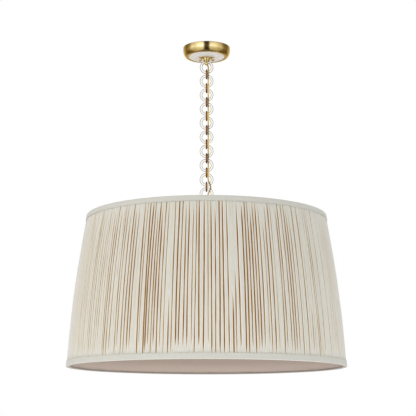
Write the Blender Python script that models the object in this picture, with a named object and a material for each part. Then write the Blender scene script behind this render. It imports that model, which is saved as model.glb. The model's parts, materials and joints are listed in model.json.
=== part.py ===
"""Pendant light: a pleated drum shade on a chain of glass rings below a brass canopy.

Lengths are in metres. The origin is the centre of the face that meets the ceiling and +Z points up,
so everything below hangs at a negative height. The glass rings lie in XZ planes and the brass links
between them in YZ planes. The front of the object faces -Y.
"""

import math

import bmesh
import bpy
from mathutils import Matrix, Quaternion, Vector

# Fits shared by all pieces
SEAT_GAP = 0.0003  # between pieces that touch
RUNNING_GAP = 0.0004  # between a ring's bar and the metal that it hangs in
CUT_OVERRUN = 0.003  # how far a cutter passes the face that it opens
WELD_DISTANCE = 0.000001

# Crossbar and its fasteners, on the ceiling box
BAR_LENGTH = 0.104
BAR_WIDTH = 0.022
BAR_THICKNESS = 0.0025
BAR_CORNER = 0.004
BOX_SCREW_SPACING = 0.0889
BOX_SLOT_LENGTH = 0.008
BOX_SLOT_WIDTH = 0.0052
STUD_SPACING = 0.035
STUD_RADIUS = 0.002
STUD_REACH = 0.0065  # how far a stud enters its cap nut
STUD_NUT_RADIUS = 0.0046
STUD_NUT_HEIGHT = 0.003
CAP_NUT_FLANGE_RADIUS = 0.0050
CAP_NUT_FLANGE = 0.0015
CAP_NUT_RADIUS = 0.0040
CAP_NUT_HEIGHT = 0.0115
CAP_NUT_DOME = 0.0025
CAP_NUT_BORE_DEPTH = 0.0075
GROUND_SCREW_X = 0.029
GROUND_SCREW_HEAD_RADIUS = 0.0044
GROUND_SCREW_HEAD = 0.0024

# Canopy: a turned dish with a recessed floor that holds the pale disc
CANOPY_RADIUS = 0.0667
CANOPY_HEIGHT = 0.027
CANOPY_WALL = 0.0012
CANOPY_SKIRT = 0.012  # the straight part of the side
CANOPY_LIP_RADIUS = 0.0575
DISC_RADIUS = 0.050
DISC_THICKNESS = 0.004
DISC_EDGE = 0.0008
FLOOR_THICKNESS = 0.0015

# Turned loops that hold the first and the last ring
COLLAR_RADIUS = 0.0125
COLLAR_HEIGHT = 0.0045
COLLAR_ROUND = 0.0012
BELL_TOP_RADIUS = 0.0098
BELL_END_RADIUS = 0.0050
BELL_HEIGHT = 0.0183
BELL_END_ROUND = 0.0016
EYE_WEB = 0.0051  # metal between the ring's bar and the end of the bell
EYE_PLAY = 0.0014  # between the bar and the eye, all round
NECK_RADIUS = 0.0050
NECK_RISE = 0.0045  # neck above its nut
FIXTURE_NECK = 0.0085  # neck of the lower loop, in its sleeve
LOOP_NUT_RADIUS = 0.0085
LOOP_NUT_HEIGHT = 0.004
CORD_BORE_RADIUS = 0.0031
SIDE_BORE_RADIUS = 0.0036
SIDE_BORE_SLOPE = math.radians(36)
SIDE_BORE_START = 0.0275  # above the ring's centre

# Chain of glass rings and brass links
RING_COUNT = 11
RING_RADIUS = 0.01905
RING_BAR_RADIUS = 0.0034
RING_PITCH = 0.0408
LINK_WIDTH = 0.0040
LINK_END_DEPTH = 0.0060
LINK_SIDE_DEPTH = 0.0040
LINK_INNER_WIDTH = 0.0088

# Cord, woven through the rings
CORD_RADIUS = 0.0021
CORD_SIDE = 0.0047  # how far it runs to the right of the chain's axis
CORD_SWING = 0.0076  # how far it passes in front of and behind the junctions
CORD_LOOSE_JUNCTION = 9
CORD_LOOSE_SIDE = 0.0117
CORD_LOOSE_SWING = 0.0115
CORD_TOP = 0.0085  # its upper end, below the ceiling
CORD_BEHIND = 0.0128  # how far behind the axis it clears a loop's side
CORD_POINT_SPACING = 0.0065
CORD_STRAIGHT_SPACING = 0.0126  # along the straight run in the stem

# Leads inside the canopy
LEAD_RADIUS = 0.0009
LEAD_SPREAD = 0.0013
LEAD_DROP = 0.0105  # below the ceiling, where the leads run
CONNECTOR_X = 0.012
CONNECTOR_Y = 0.020
CONNECTOR_LENGTH = 0.018
CONNECTOR_MOUTH_RADIUS = 0.0052
CONNECTOR_END_RADIUS = 0.0034
CONNECTOR_MOUTH_DEPTH = 0.006

# Shade
SHADE_TOP_DROP = 0.0262  # from the last ring's centre to the shade's upper edge
SHADE_HEIGHT = 0.414
SHADE_TOP_RADIUS = 0.332
SHADE_BOTTOM_RADIUS = 0.381
SHADE_BULGE = 0.0050  # how far the pleats stand out halfway down
TRIM_THICKNESS = 0.0008
TOP_TRIM_WIDTH = 0.0150
BOTTOM_TRIM_WIDTH = 0.0160
TRIM_INNER_WIDTH = 0.0030
COVER_SPACE = 0.0045  # from the trim's outer face to the pleated cover's inner face
PLEAT_BACK = 0.0008  # cloth left at the bottom of a pleat
PLEATS_PER_SEGMENT = 3
PLEAT_VARIATION_SHARE = 0.34
PLEAT_RHYTHM = math.radians(137)  # of the uneven widths, from one pleat to the next
PLEAT_SLOW_RHYTHM = math.radians(40)
SHADE_WIRE_RADIUS = 0.0018
SHADE_RIB_RADIUS = 0.0012
SHADE_RIB_COUNT = 8
LINING_THICKNESS = 0.0008

# Spider that carries the shade
SPIDER_ARM_COUNT = 3
SPIDER_ARM_RADIUS = 0.0024
SPIDER_DROP = 0.018  # hub below the shade's top wire
SPIDER_KNEE = 0.030  # from the wire in to where an arm turns level
HUB_RADIUS = 0.016
HUB_THICKNESS = 0.0060
HUB_NUT_RADIUS = 0.0092
HUB_NUT_HEIGHT = 0.005
ARM_SLOT_MARGIN = 0.0006

# Stem and lamp cluster
STEM_RADIUS = 0.0050
STEM_WALL = 0.0018
STEM_LENGTH = 0.151
STEM_WIRE_HOLE_RADIUS = 0.0022
SLEEVE_WALL = 0.0028
CLUSTER_RADIUS = 0.028
CLUSTER_HEIGHT = 0.036
CLUSTER_WALL = 0.0016
CLUSTER_ROUND = 0.005
CLUSTER_COVER = 0.002
FINIAL_RADIUS = 0.0100
FINIAL_FACE_RADIUS = 0.0076
FINIAL_HEIGHT = 0.016
FINIAL_BORE_DEPTH = 0.0085
FINIAL_TIP_RADIUS = 0.0042
LAMP_COUNT = 3
LAMP_TILT = math.radians(30)
LAMP_AXIS_DROP = 0.008  # from the cluster's top to where the lamps' axes meet
BOSS_RADIUS = 0.0105
BOSS_REACH = 0.043
BOSS_BORE_RADIUS = 0.0045
SOCKET_LENGTH = 0.048
SOCKET_CAP_RADIUS = 0.0150
SOCKET_RADIUS = 0.0190
SOCKET_SHOULDER = 0.012
SOCKET_BORE_RADIUS = 0.0138
SOCKET_BORE_DEPTH = 0.027
BULB_BASE_RADIUS = 0.0132
BULB_BASE_LENGTH = 0.0275
BULB_NECK_RADIUS = 0.0150
BULB_GLOBE_RADIUS = 0.030
BULB_LENGTH = 0.106

# Facets
RING_SEGMENTS = 18
RING_SIDES = 8
LINK_END_STEPS = 6
LINK_SIDES = 6
CANOPY_SEGMENTS = 36
CANOPY_CURVE_STEPS = 4
SHADE_SEGMENTS = 48
WIRE_SIDES = 6
LOOP_SEGMENTS = 20
BELL_STEPS = 4
ARM_STEPS = 4
SMALL_SEGMENTS = 12
NUT_SEGMENTS = 12
SCREW_SEGMENTS = 10
TUBE_SEGMENTS = 16
CLUSTER_SEGMENTS = 22
SOCKET_SEGMENTS = 16
BULB_STEPS = 6
CORD_ROUNDING_STEPS = 2
LEAD_ROUNDING_STEPS = 1
SHARP_ANGLE = math.radians(35)

# Finishes: colour, roughness, metallic value and transmission
BRASS = ("brass", (0.60, 0.43, 0.17), 0.28, 1.0, 0.0)
STEEL = ("zinc_plated_steel", (0.55, 0.55, 0.53), 0.42, 1.0, 0.0)
GREEN_STEEL = ("green_screw", (0.10, 0.36, 0.14), 0.40, 1.0, 0.0)
FROSTED = ("frosted_disc", (0.76, 0.76, 0.72), 0.45, 0.0, 0.2)
GLASS = ("clear_glass", (0.95, 0.96, 0.93), 0.03, 0.0, 0.9)
PLEATED_CLOTH = ("pleated_cloth", (0.70, 0.67, 0.62), 0.90, 0.0, 0.0)
TRIM_CLOTH = ("trim_cloth", (0.64, 0.64, 0.58), 0.88, 0.0, 0.0)
LINING_CLOTH = ("lining_cloth", (0.46, 0.37, 0.30), 0.85, 0.0, 0.0)
WHITE_WIRE = ("white_coated_wire", (0.75, 0.74, 0.71), 0.50, 0.0, 0.0)
CORD_CLOTH = ("gold_cord", (0.58, 0.36, 0.09), 0.60, 0.0, 0.0)
LEAD_PLASTIC = ("lead_insulation", (0.08, 0.08, 0.08), 0.50, 0.0, 0.0)
CONNECTOR_PLASTIC = ("connector_plastic", (0.66, 0.30, 0.05), 0.45, 0.0, 0.0)
SOCKET_PLASTIC = ("socket_plastic", (0.04, 0.04, 0.04), 0.40, 0.0, 0.0)
BULB_GLASS = ("frosted_bulb", (0.90, 0.89, 0.86), 0.35, 0.0, 0.1)

# Heights that follow from the sizes above
DISC_FACE_Z = -CANOPY_HEIGHT
FLOOR_LOWER_Z = DISC_FACE_Z + DISC_THICKNESS + SEAT_GAP
FLOOR_UPPER_Z = FLOOR_LOWER_Z + FLOOR_THICKNESS
RING_CENTRE_RADIUS = RING_RADIUS - RING_BAR_RADIUS
RING_HOLE_RADIUS = RING_RADIUS - 2 * RING_BAR_RADIUS
EYE_SEAT = RING_HOLE_RADIUS - SEAT_GAP  # from a ring's centre to the face that its bar rests on
BELL_END = EYE_SEAT - EYE_WEB
BELL_TOP = BELL_END + BELL_HEIGHT
COLLAR_TOP = BELL_TOP + COLLAR_HEIGHT
FIRST_RING_Z = DISC_FACE_Z - SEAT_GAP - COLLAR_TOP
LAST_RING_Z = FIRST_RING_Z - (RING_COUNT - 1) * RING_PITCH
SHADE_TOP_Z = LAST_RING_Z - SHADE_TOP_DROP
SHADE_BOTTOM_Z = SHADE_TOP_Z - SHADE_HEIGHT
TOP_WIRE_Z = SHADE_TOP_Z - TRIM_THICKNESS - SEAT_GAP - SHADE_WIRE_RADIUS
BOTTOM_WIRE_Z = SHADE_BOTTOM_Z + TRIM_THICKNESS + SEAT_GAP + SHADE_WIRE_RADIUS
WIRE_INSET = COVER_SPACE + SEAT_GAP + SHADE_WIRE_RADIUS
LINING_INSET = WIRE_INSET + SHADE_WIRE_RADIUS + SEAT_GAP
TRIM_INNER_INSET = LINING_INSET + LINING_THICKNESS + SEAT_GAP
HUB_Z = TOP_WIRE_Z - SPIDER_DROP
LOOP_BASE_Z = LAST_RING_Z - COLLAR_TOP
STEM_TOP_Z = LOOP_BASE_Z - FIXTURE_NECK - SEAT_GAP
STEM_BOTTOM_Z = STEM_TOP_Z - STEM_LENGTH
FINIAL_TOP_Z = STEM_BOTTOM_Z + FINIAL_BORE_DEPTH - SEAT_GAP
COVER_TOP_Z = FINIAL_TOP_Z + SEAT_GAP + CLUSTER_COVER
CLUSTER_BOTTOM_Z = COVER_TOP_Z + SEAT_GAP
CLUSTER_TOP_Z = CLUSTER_BOTTOM_Z + CLUSTER_HEIGHT
LAMP_AXIS_Z = CLUSTER_TOP_Z - LAMP_AXIS_DROP


def clear_scene():
    """Removes the objects that a new file starts with."""
    for obj in list(bpy.data.objects):
        bpy.data.objects.remove(obj, do_unlink=True)


def material(finish):
    """A Principled material for the finish, made once."""
    name, colour, roughness, metallic, transmission = finish
    if name in bpy.data.materials:
        return bpy.data.materials[name]
    made = bpy.data.materials.new(name)
    made.use_nodes = True
    shader = made.node_tree.nodes["Principled BSDF"]
    shader.inputs["Base Color"].default_value = (*colour, 1.0)
    shader.inputs["Roughness"].default_value = roughness
    shader.inputs["Metallic"].default_value = metallic
    shader.inputs["Transmission Weight"].default_value = transmission
    made.diffuse_color = (*colour, 1.0)
    return made


def mesh_from(name, bm):
    """A smooth-shaded mesh with its faces pointing out."""
    bmesh.ops.remove_doubles(bm, verts=bm.verts[:], dist=WELD_DISTANCE)
    bmesh.ops.recalc_face_normals(bm, faces=bm.faces[:])
    mesh = bpy.data.meshes.new(name)
    bm.to_mesh(mesh)
    bm.free()
    mesh.shade_smooth()
    mesh.set_sharp_from_angle(angle=SHARP_ANGLE)
    return mesh


def piece(name, data, finish, parent=None, location=(0, 0, 0), rotation=None):
    """One named sub-part, placed in the scene with its finish."""
    obj = bpy.data.objects.new(name, data)
    bpy.context.scene.collection.objects.link(obj)
    obj.location = location
    if rotation is not None:
        obj.rotation_mode = "QUATERNION"
        obj.rotation_quaternion = rotation
    if parent is not None:
        obj.parent = parent
        obj.matrix_parent_inverse = parent.matrix_world.inverted()
    if not data.materials:
        data.materials.append(material(finish))
    return obj


def pivot(name, location, parent=None):
    """An empty on a joint's axis, which carries the pieces that turn about it."""
    empty = bpy.data.objects.new(name, None)
    empty.empty_display_size = RING_RADIUS
    bpy.context.scene.collection.objects.link(empty)
    empty.location = location
    if parent is not None:
        empty.parent = parent
        empty.matrix_parent_inverse = parent.matrix_world.inverted()
    bpy.context.view_layer.update()
    return empty


def cutter(name, bm):
    """A hidden tool body for a Boolean."""
    obj = bpy.data.objects.new(name, mesh_from(name, bm))
    bpy.context.scene.collection.objects.link(obj)
    obj.hide_render = True
    obj.display_type = "WIRE"
    return obj


def combine(obj, tool, operation="DIFFERENCE"):
    """Cuts or joins a tool body into an object."""
    step = obj.modifiers.new(f"{operation.lower()}_{tool.name}", "BOOLEAN")
    step.object = tool
    step.operation = operation
    step.solver = "EXACT"


def arc(centre_r, centre_z, size_r, size_z, start, end, steps):
    """Points of an elliptical arc in a turned profile, with angles in degrees from +R towards +Z."""
    points = []
    for step in range(steps + 1):
        angle = math.radians(start + (end - start) * step / steps)
        points.append((centre_r + size_r * math.cos(angle), centre_z + size_z * math.sin(angle)))
    return points


def turned(profile, segments, closed=True):
    """A body turned about Z. An open profile starts and ends on the axis."""
    bm = bmesh.new()
    verts = [bm.verts.new((r, 0, z)) for r, z in profile]
    for first, second in zip(verts, verts[1:]):
        bm.edges.new((first, second))
    if closed:
        bm.edges.new((verts[-1], verts[0]))
    bmesh.ops.spin(
        bm, geom=bm.verts[:] + bm.edges[:], axis=(0, 0, 1), cent=(0, 0, 0), angle=math.tau, steps=segments,
        use_merge=True,
    )
    bmesh.ops.remove_doubles(bm, verts=bm.verts[:], dist=WELD_DISTANCE)
    return bm


def rod(bm, radius, start, end, segments=SMALL_SEGMENTS):
    """Adds a straight round body between two points."""
    start, end = Vector(start), Vector(end)
    along = end - start
    turn = Vector((0, 0, 1)).rotation_difference(along).to_matrix().to_4x4()
    place = Matrix.Translation((start + end) / 2) @ turn
    bmesh.ops.create_cone(
        bm, cap_ends=True, segments=segments, radius1=radius, radius2=radius, depth=along.length, matrix=place
    )


def closed_loop(sections):
    """A closed band through sections of equal point counts, such as a ring or a link."""
    bm = bmesh.new()
    rows = [[bm.verts.new(point) for point in section] for section in sections]
    sides = len(rows[0])
    for index, row in enumerate(rows):
        following = rows[(index + 1) % len(rows)]
        for side in range(sides):
            after = (side + 1) % sides
            bm.faces.new((row[side], row[after], following[after], following[side]))
    return bm


def tube(name, path, radius, rounding_steps):
    """A round tube along a list of points, as a curve with filled ends."""
    curve = bpy.data.curves.new(name, "CURVE")
    curve.dimensions = "3D"
    curve.bevel_depth = radius
    curve.bevel_resolution = rounding_steps
    curve.use_fill_caps = True
    spline = curve.splines.new("POLY")
    spline.points.add(len(path) - 1)
    for point, place in zip(spline.points, path):
        point.co = (*place, 1.0)
    spline.use_smooth = True
    return curve


def smooth_path(knots, spacing):
    """Points about one spacing apart on a smooth curve through the knots."""
    knots = [Vector(knot) for knot in knots]
    ends = [2 * knots[0] - knots[1], *knots, 2 * knots[-1] - knots[-2]]
    points = []
    for before, first, second, after in zip(ends, ends[1:], ends[2:], ends[3:]):
        steps = max(1, round((second - first).length / spacing))
        for step in range(steps):
            t = step / steps
            pull = (second - before) * t + (2 * before - 5 * first + 4 * second - after) * t**2
            pull += (3 * first - 3 * second + after - before) * t**3
            points.append(first + pull / 2)
    points.append(knots[-1])
    return points


def box(bm, size, centre):
    """Adds a rectangular body."""
    place = Matrix.Translation(centre) @ Matrix.Diagonal((*size, 1))
    return bmesh.ops.create_cube(bm, size=1, matrix=place)


def tube_profile(outer, inner, top, bottom):
    """The profile of a plain round tube or ring."""
    return [(outer, top), (outer, bottom), (inner, bottom), (inner, top)]


def hex_nut(name, corner_radius, bore, height):
    """A six-sided nut with a round bore, standing on the XY plane."""
    sections = []
    for step in range(NUT_SEGMENTS):
        turn = math.tau * step / NUT_SEGMENTS
        reach = corner_radius if step % 2 == 0 else corner_radius * math.cos(math.pi / 6)
        way = Vector((math.cos(turn), math.sin(turn), 0))
        top = Vector((0, 0, height))
        sections.append([way * reach + top, way * reach, way * bore, way * bore + top])
    return mesh_from(name, closed_loop(sections))


def build_crossbar(ceiling):
    """The steel strap on the ceiling box, with holes for its studs and slots for the box screws."""
    bm = bmesh.new()
    box(bm, (BAR_LENGTH, BAR_WIDTH, BAR_THICKNESS), (0, 0, -BAR_THICKNESS / 2))
    corners = [edge for edge in bm.edges if abs(edge.verts[0].co.z - edge.verts[1].co.z) > BAR_THICKNESS / 2]
    bmesh.ops.bevel(bm, geom=corners, offset=BAR_CORNER, segments=3, profile=0.5, affect="EDGES")
    bar = piece("crossbar", mesh_from("crossbar", bm), STEEL, ceiling)

    low, high = -BAR_THICKNESS - CUT_OVERRUN, CUT_OVERRUN
    openings = bmesh.new()
    for x in (-STUD_SPACING / 2, STUD_SPACING / 2, GROUND_SCREW_X):
        rod(openings, STUD_RADIUS + SEAT_GAP, (x, 0, low), (x, 0, high), SCREW_SEGMENTS)
    for side in (-1, 1):
        place = (side * BOX_SCREW_SPACING / 2, 0, (low + high) / 2)
        box(openings, (BOX_SLOT_LENGTH, BOX_SLOT_WIDTH, high - low), place)
    combine(bar, cutter("crossbar_openings", openings))


def build_crossbar_fasteners(ceiling):
    """The two studs with their nuts and cap nuts, and the ground screw."""
    cap_top = DISC_FACE_Z - SEAT_GAP
    bore = STUD_RADIUS + SEAT_GAP
    cap_profile = [
        (0, -CAP_NUT_BORE_DEPTH),
        (bore, -CAP_NUT_BORE_DEPTH),
        (bore, 0),
        (CAP_NUT_FLANGE_RADIUS, 0),
        (CAP_NUT_FLANGE_RADIUS, -CAP_NUT_FLANGE),
        (CAP_NUT_RADIUS, -CAP_NUT_FLANGE),
        *arc(0, CAP_NUT_DOME - CAP_NUT_HEIGHT, CAP_NUT_RADIUS, CAP_NUT_DOME, 0, -90, 3),
    ]
    stud_bm = bmesh.new()
    rod(stud_bm, STUD_RADIUS, (0, 0, -SEAT_GAP), (0, 0, cap_top - STUD_REACH), SCREW_SEGMENTS)
    stud = mesh_from("canopy_stud", stud_bm)
    nut = hex_nut("stud_nut", STUD_NUT_RADIUS, bore, STUD_NUT_HEIGHT)
    nut_bottom = -BAR_THICKNESS - SEAT_GAP - STUD_NUT_HEIGHT
    cap = mesh_from("cap_nut", turned(cap_profile, SMALL_SEGMENTS, closed=False))
    for side, x in (("left", -STUD_SPACING / 2), ("right", STUD_SPACING / 2)):
        piece(f"canopy_stud_{side}", stud, STEEL, ceiling, (x, 0, 0))
        piece(f"stud_nut_{side}", nut, STEEL, ceiling, (x, 0, nut_bottom))
        piece(f"cap_nut_{side}", cap, BRASS, ceiling, (x, 0, cap_top))

    head = -BAR_THICKNESS - SEAT_GAP
    profile = [
        (0, -SEAT_GAP),
        (STUD_RADIUS, -SEAT_GAP),
        (STUD_RADIUS, head),
        (GROUND_SCREW_HEAD_RADIUS, head),
        *arc(0, head, GROUND_SCREW_HEAD_RADIUS, GROUND_SCREW_HEAD, -20, -90, 3),
    ]
    screw = mesh_from("ground_screw", turned(profile, SCREW_SEGMENTS, closed=False))
    piece("ground_screw", screw, GREEN_STEEL, ceiling, (GROUND_SCREW_X, 0, 0))


def build_canopy(ceiling):
    """The brass dish and the pale disc in its recess, both cut for the loop's neck and the studs."""
    neck_hole = NECK_RADIUS + SEAT_GAP
    recess = DISC_RADIUS + SEAT_GAP
    curve = arc(
        CANOPY_LIP_RADIUS,
        -CANOPY_SKIRT,
        CANOPY_RADIUS - CANOPY_LIP_RADIUS,
        CANOPY_HEIGHT - CANOPY_SKIRT,
        0,
        -90,
        CANOPY_CURVE_STEPS,
    )
    shell_profile = [
        (CANOPY_RADIUS, 0),
        *curve,
        (recess, DISC_FACE_Z),
        (recess, FLOOR_LOWER_Z),
        (neck_hole, FLOOR_LOWER_Z),
        (neck_hole, FLOOR_UPPER_Z),
        (CANOPY_LIP_RADIUS, FLOOR_UPPER_Z),
        (CANOPY_RADIUS - CANOPY_WALL, -CANOPY_SKIRT),
        (CANOPY_RADIUS - CANOPY_WALL, 0),
    ]
    disc_top = DISC_FACE_Z + DISC_THICKNESS
    disc_profile = [
        (neck_hole, disc_top),
        (DISC_RADIUS, disc_top),
        (DISC_RADIUS, DISC_FACE_Z + DISC_EDGE),
        (DISC_RADIUS - DISC_EDGE, DISC_FACE_Z),
        (neck_hole, DISC_FACE_Z),
    ]
    shell_mesh = mesh_from("canopy_shell", turned(shell_profile, CANOPY_SEGMENTS))
    shell = piece("canopy_shell", shell_mesh, BRASS, ceiling)
    disc_mesh = mesh_from("canopy_disc", turned(disc_profile, CANOPY_SEGMENTS))
    disc = piece("canopy_disc", disc_mesh, FROSTED, ceiling)
    holes = bmesh.new()
    for x in (-STUD_SPACING / 2, STUD_SPACING / 2):
        start = (x, 0, DISC_FACE_Z - CUT_OVERRUN)
        rod(holes, STUD_RADIUS + SEAT_GAP, start, (x, 0, FLOOR_UPPER_Z + CUT_OVERRUN), SCREW_SEGMENTS)
    tool = cutter("canopy_stud_holes", holes)
    combine(shell, tool)
    combine(disc, tool)


def bell_profile():
    """The outside of a loop from its end up to its collar, measured from the centre of its ring."""
    side = []
    for step in range(BELL_STEPS + 1):
        share = step / BELL_STEPS
        flare = (1 - math.cos(math.pi * share)) / 2
        radius = BELL_END_RADIUS + (BELL_TOP_RADIUS - BELL_END_RADIUS) * (share + flare) / 2
        side.append((radius, BELL_END + BELL_END_ROUND + (BELL_HEIGHT - BELL_END_ROUND) * share))
    tip = [(0, BELL_END), (BELL_END_RADIUS - BELL_END_ROUND, BELL_END)]
    collar = [
        (COLLAR_RADIUS - COLLAR_ROUND, BELL_TOP),
        (COLLAR_RADIUS, BELL_TOP + COLLAR_ROUND),
        (COLLAR_RADIUS, COLLAR_TOP - COLLAR_ROUND),
        (COLLAR_RADIUS - COLLAR_ROUND, COLLAR_TOP),
    ]
    return [*tip, *side, *collar]


def loop_openings(name, bore_top):
    """The tool that opens a loop: the eye for the ring's bar, the bore and the cord's side bore."""
    eye = torus(RING_CENTRE_RADIUS, RING_BAR_RADIUS + EYE_PLAY, RING_SEGMENTS, RING_SIDES)
    eye.transform(Matrix.Translation((0, 0, EYE_PLAY - SEAT_GAP)))
    wires = bmesh.new()
    rod(wires, CORD_BORE_RADIUS, (0, 0, SIDE_BORE_START - CORD_RADIUS), (0, 0, bore_top + CUT_OVERRUN))
    side = bmesh.new()
    end = (0, COLLAR_RADIUS, SIDE_BORE_START - COLLAR_RADIUS * math.tan(SIDE_BORE_SLOPE))
    rod(side, SIDE_BORE_RADIUS, (0, 0, SIDE_BORE_START), end)
    return [cutter(f"{name}_eye", eye), cutter(f"{name}_bore", wires), cutter(f"{name}_side_bore", side)]


def torus(centre_radius, bar_radius, segments, sides):
    """A round ring in the XZ plane, about the origin."""
    sections = []
    for segment in range(segments):
        angle = math.tau * segment / segments
        section = []
        for side in range(sides):
            turn = math.tau * side / sides
            reach = centre_radius + bar_radius * math.cos(turn)
            section.append((reach * math.cos(angle), bar_radius * math.sin(turn), reach * math.sin(angle)))
        sections.append(section)
    return closed_loop(sections)


def build_loop(name, neck_length, ring_z, rotation, parent):
    """A turned loop about its ring's centre, opened for the ring's bar and for the cord."""
    neck_top = COLLAR_TOP + neck_length
    profile = [*bell_profile(), (NECK_RADIUS, COLLAR_TOP), (NECK_RADIUS, neck_top), (0, neck_top)]
    mesh = mesh_from(name, turned(profile, LOOP_SEGMENTS, closed=False))
    loop = piece(name, mesh, BRASS, parent, (0, 0, ring_z), rotation)
    for tool in loop_openings(name, neck_top):
        tool.location = loop.location
        tool.rotation_mode = "QUATERNION"
        tool.rotation_quaternion = rotation
        combine(loop, tool)


def build_canopy_loop(ceiling):
    """The loop below the canopy, and the nut that holds its neck above the canopy's floor."""
    nut_bottom = FLOOR_UPPER_Z + SEAT_GAP
    neck_length = nut_bottom + LOOP_NUT_HEIGHT + NECK_RISE - (FIRST_RING_Z + COLLAR_TOP)
    build_loop("canopy_loop", neck_length, FIRST_RING_Z, Quaternion(), ceiling)
    nut = hex_nut("canopy_loop_nut", LOOP_NUT_RADIUS, NECK_RADIUS + SEAT_GAP, LOOP_NUT_HEIGHT)
    piece("canopy_loop_nut", nut, STEEL, ceiling, (0, 0, nut_bottom))


def build_leads(ceiling):
    """The cord's three leads inside the canopy, and the two push-on connectors."""
    start_z = -CORD_TOP + SEAT_GAP
    mouth_y = -CONNECTOR_Y + CONNECTOR_MOUTH_DEPTH
    profile = [
        (0, CONNECTOR_LENGTH),
        (CONNECTOR_END_RADIUS, CONNECTOR_LENGTH),
        (CONNECTOR_MOUTH_RADIUS, 0),
        (LEAD_RADIUS + SEAT_GAP, 0),
        (LEAD_RADIUS + SEAT_GAP, CONNECTOR_LENGTH / 2),
        (0, CONNECTOR_LENGTH / 2),
    ]
    connector = mesh_from("wire_connector", turned(profile, SMALL_SEGMENTS, closed=False))
    lay = Matrix.Rotation(math.radians(90), 4, "X").to_quaternion()
    for name, side in (("line", -1), ("neutral", 1)):
        x = side * CONNECTOR_X
        knots = [
            (side * LEAD_SPREAD, 0, start_z),
            (side * LEAD_SPREAD, 0, start_z + LEAD_RADIUS),
            (x / 2, mouth_y / 2, -LEAD_DROP),
            (x, mouth_y, -LEAD_DROP),
            (x, -CONNECTOR_Y, -LEAD_DROP),
            (x, -CONNECTOR_Y - CONNECTOR_MOUTH_DEPTH, -LEAD_DROP),
        ]
        lead = tube(f"{name}_lead", smooth_path(knots, CONNECTOR_MOUTH_DEPTH), LEAD_RADIUS, LEAD_ROUNDING_STEPS)
        piece(f"{name}_lead", lead, LEAD_PLASTIC, ceiling)
        piece(f"{name}_connector", connector, CONNECTOR_PLASTIC, ceiling, (x, -CONNECTOR_Y, -LEAD_DROP), lay)
    screw_side = GROUND_SCREW_X - GROUND_SCREW_HEAD_RADIUS - SEAT_GAP
    knots = [
        (0, LEAD_SPREAD, start_z),
        (0, LEAD_SPREAD, start_z + LEAD_RADIUS),
        (STUD_SPACING / 4, BAR_WIDTH / 2, -LEAD_DROP),
        (STUD_SPACING / 2 + STUD_NUT_RADIUS, BAR_WIDTH / 3, -LEAD_DROP),
        (screw_side, 0, -BAR_THICKNESS - SEAT_GAP - GROUND_SCREW_HEAD / 2),
    ]
    lead = tube("ground_lead", smooth_path(knots, CONNECTOR_MOUTH_DEPTH), LEAD_RADIUS, LEAD_ROUNDING_STEPS)
    piece("ground_lead", lead, GREEN_STEEL, ceiling)


def link_mesh():
    """A brass link in the YZ plane, measured from the upper ring's bar, deeper at its two ends."""
    inner_radius = LINK_INNER_WIDTH / 2
    seat = RING_BAR_RADIUS + RUNNING_GAP
    bars_apart = RING_PITCH - 2 * RING_CENTRE_RADIUS
    ends = ((seat - inner_radius, 0), (-bars_apart - seat + inner_radius, math.pi))
    sections = []
    for centre_z, start in ends:
        for step in range(LINK_END_STEPS + 1):
            turn = math.pi * step / LINK_END_STEPS
            depth = LINK_SIDE_DEPTH + (LINK_END_DEPTH - LINK_SIDE_DEPTH) * math.sin(turn)
            outward = Vector((0, math.cos(start + turn), math.sin(start + turn)))
            middle = Vector((0, 0, centre_z)) + outward * (inner_radius + depth / 2)
            section = []
            for side in range(LINK_SIDES):
                angle = math.tau * (side + 0.5) / LINK_SIDES
                across = Vector((LINK_WIDTH / 2 * math.sin(angle), 0, 0))
                section.append(middle + across + outward * (depth / 2 * math.cos(angle)))
            sections.append(section)
    return mesh_from("link", closed_loop(sections))


def ring_centre_z(index):
    """The height of a ring's centre, counted from 1 at the top."""
    return FIRST_RING_Z - (index - 1) * RING_PITCH


def build_chain(ceiling):
    """The rings and links. Each ring turns in its own circle, and each link swings on the bar above."""
    ring_mesh = mesh_from("glass_ring", torus(RING_CENTRE_RADIUS, RING_BAR_RADIUS, RING_SEGMENTS, RING_SIDES))
    metal_mesh = link_mesh()
    carrier = ceiling
    for index in range(1, RING_COUNT + 1):
        centre = (0, 0, ring_centre_z(index))
        carrier = pivot(f"ring_{index:02d}_turn", centre, carrier)
        piece(f"glass_ring_{index:02d}", ring_mesh, GLASS, carrier, centre)
        if index < RING_COUNT:
            bar = (0, 0, ring_centre_z(index) - RING_CENTRE_RADIUS)
            carrier = pivot(f"link_{index:02d}_swing", bar, carrier)
            piece(f"link_{index:02d}", metal_mesh, BRASS, carrier, bar)
    last_bar = (0, 0, LAST_RING_Z - RING_CENTRE_RADIUS)
    return pivot("fixture_swing", last_bar, carrier)


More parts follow.
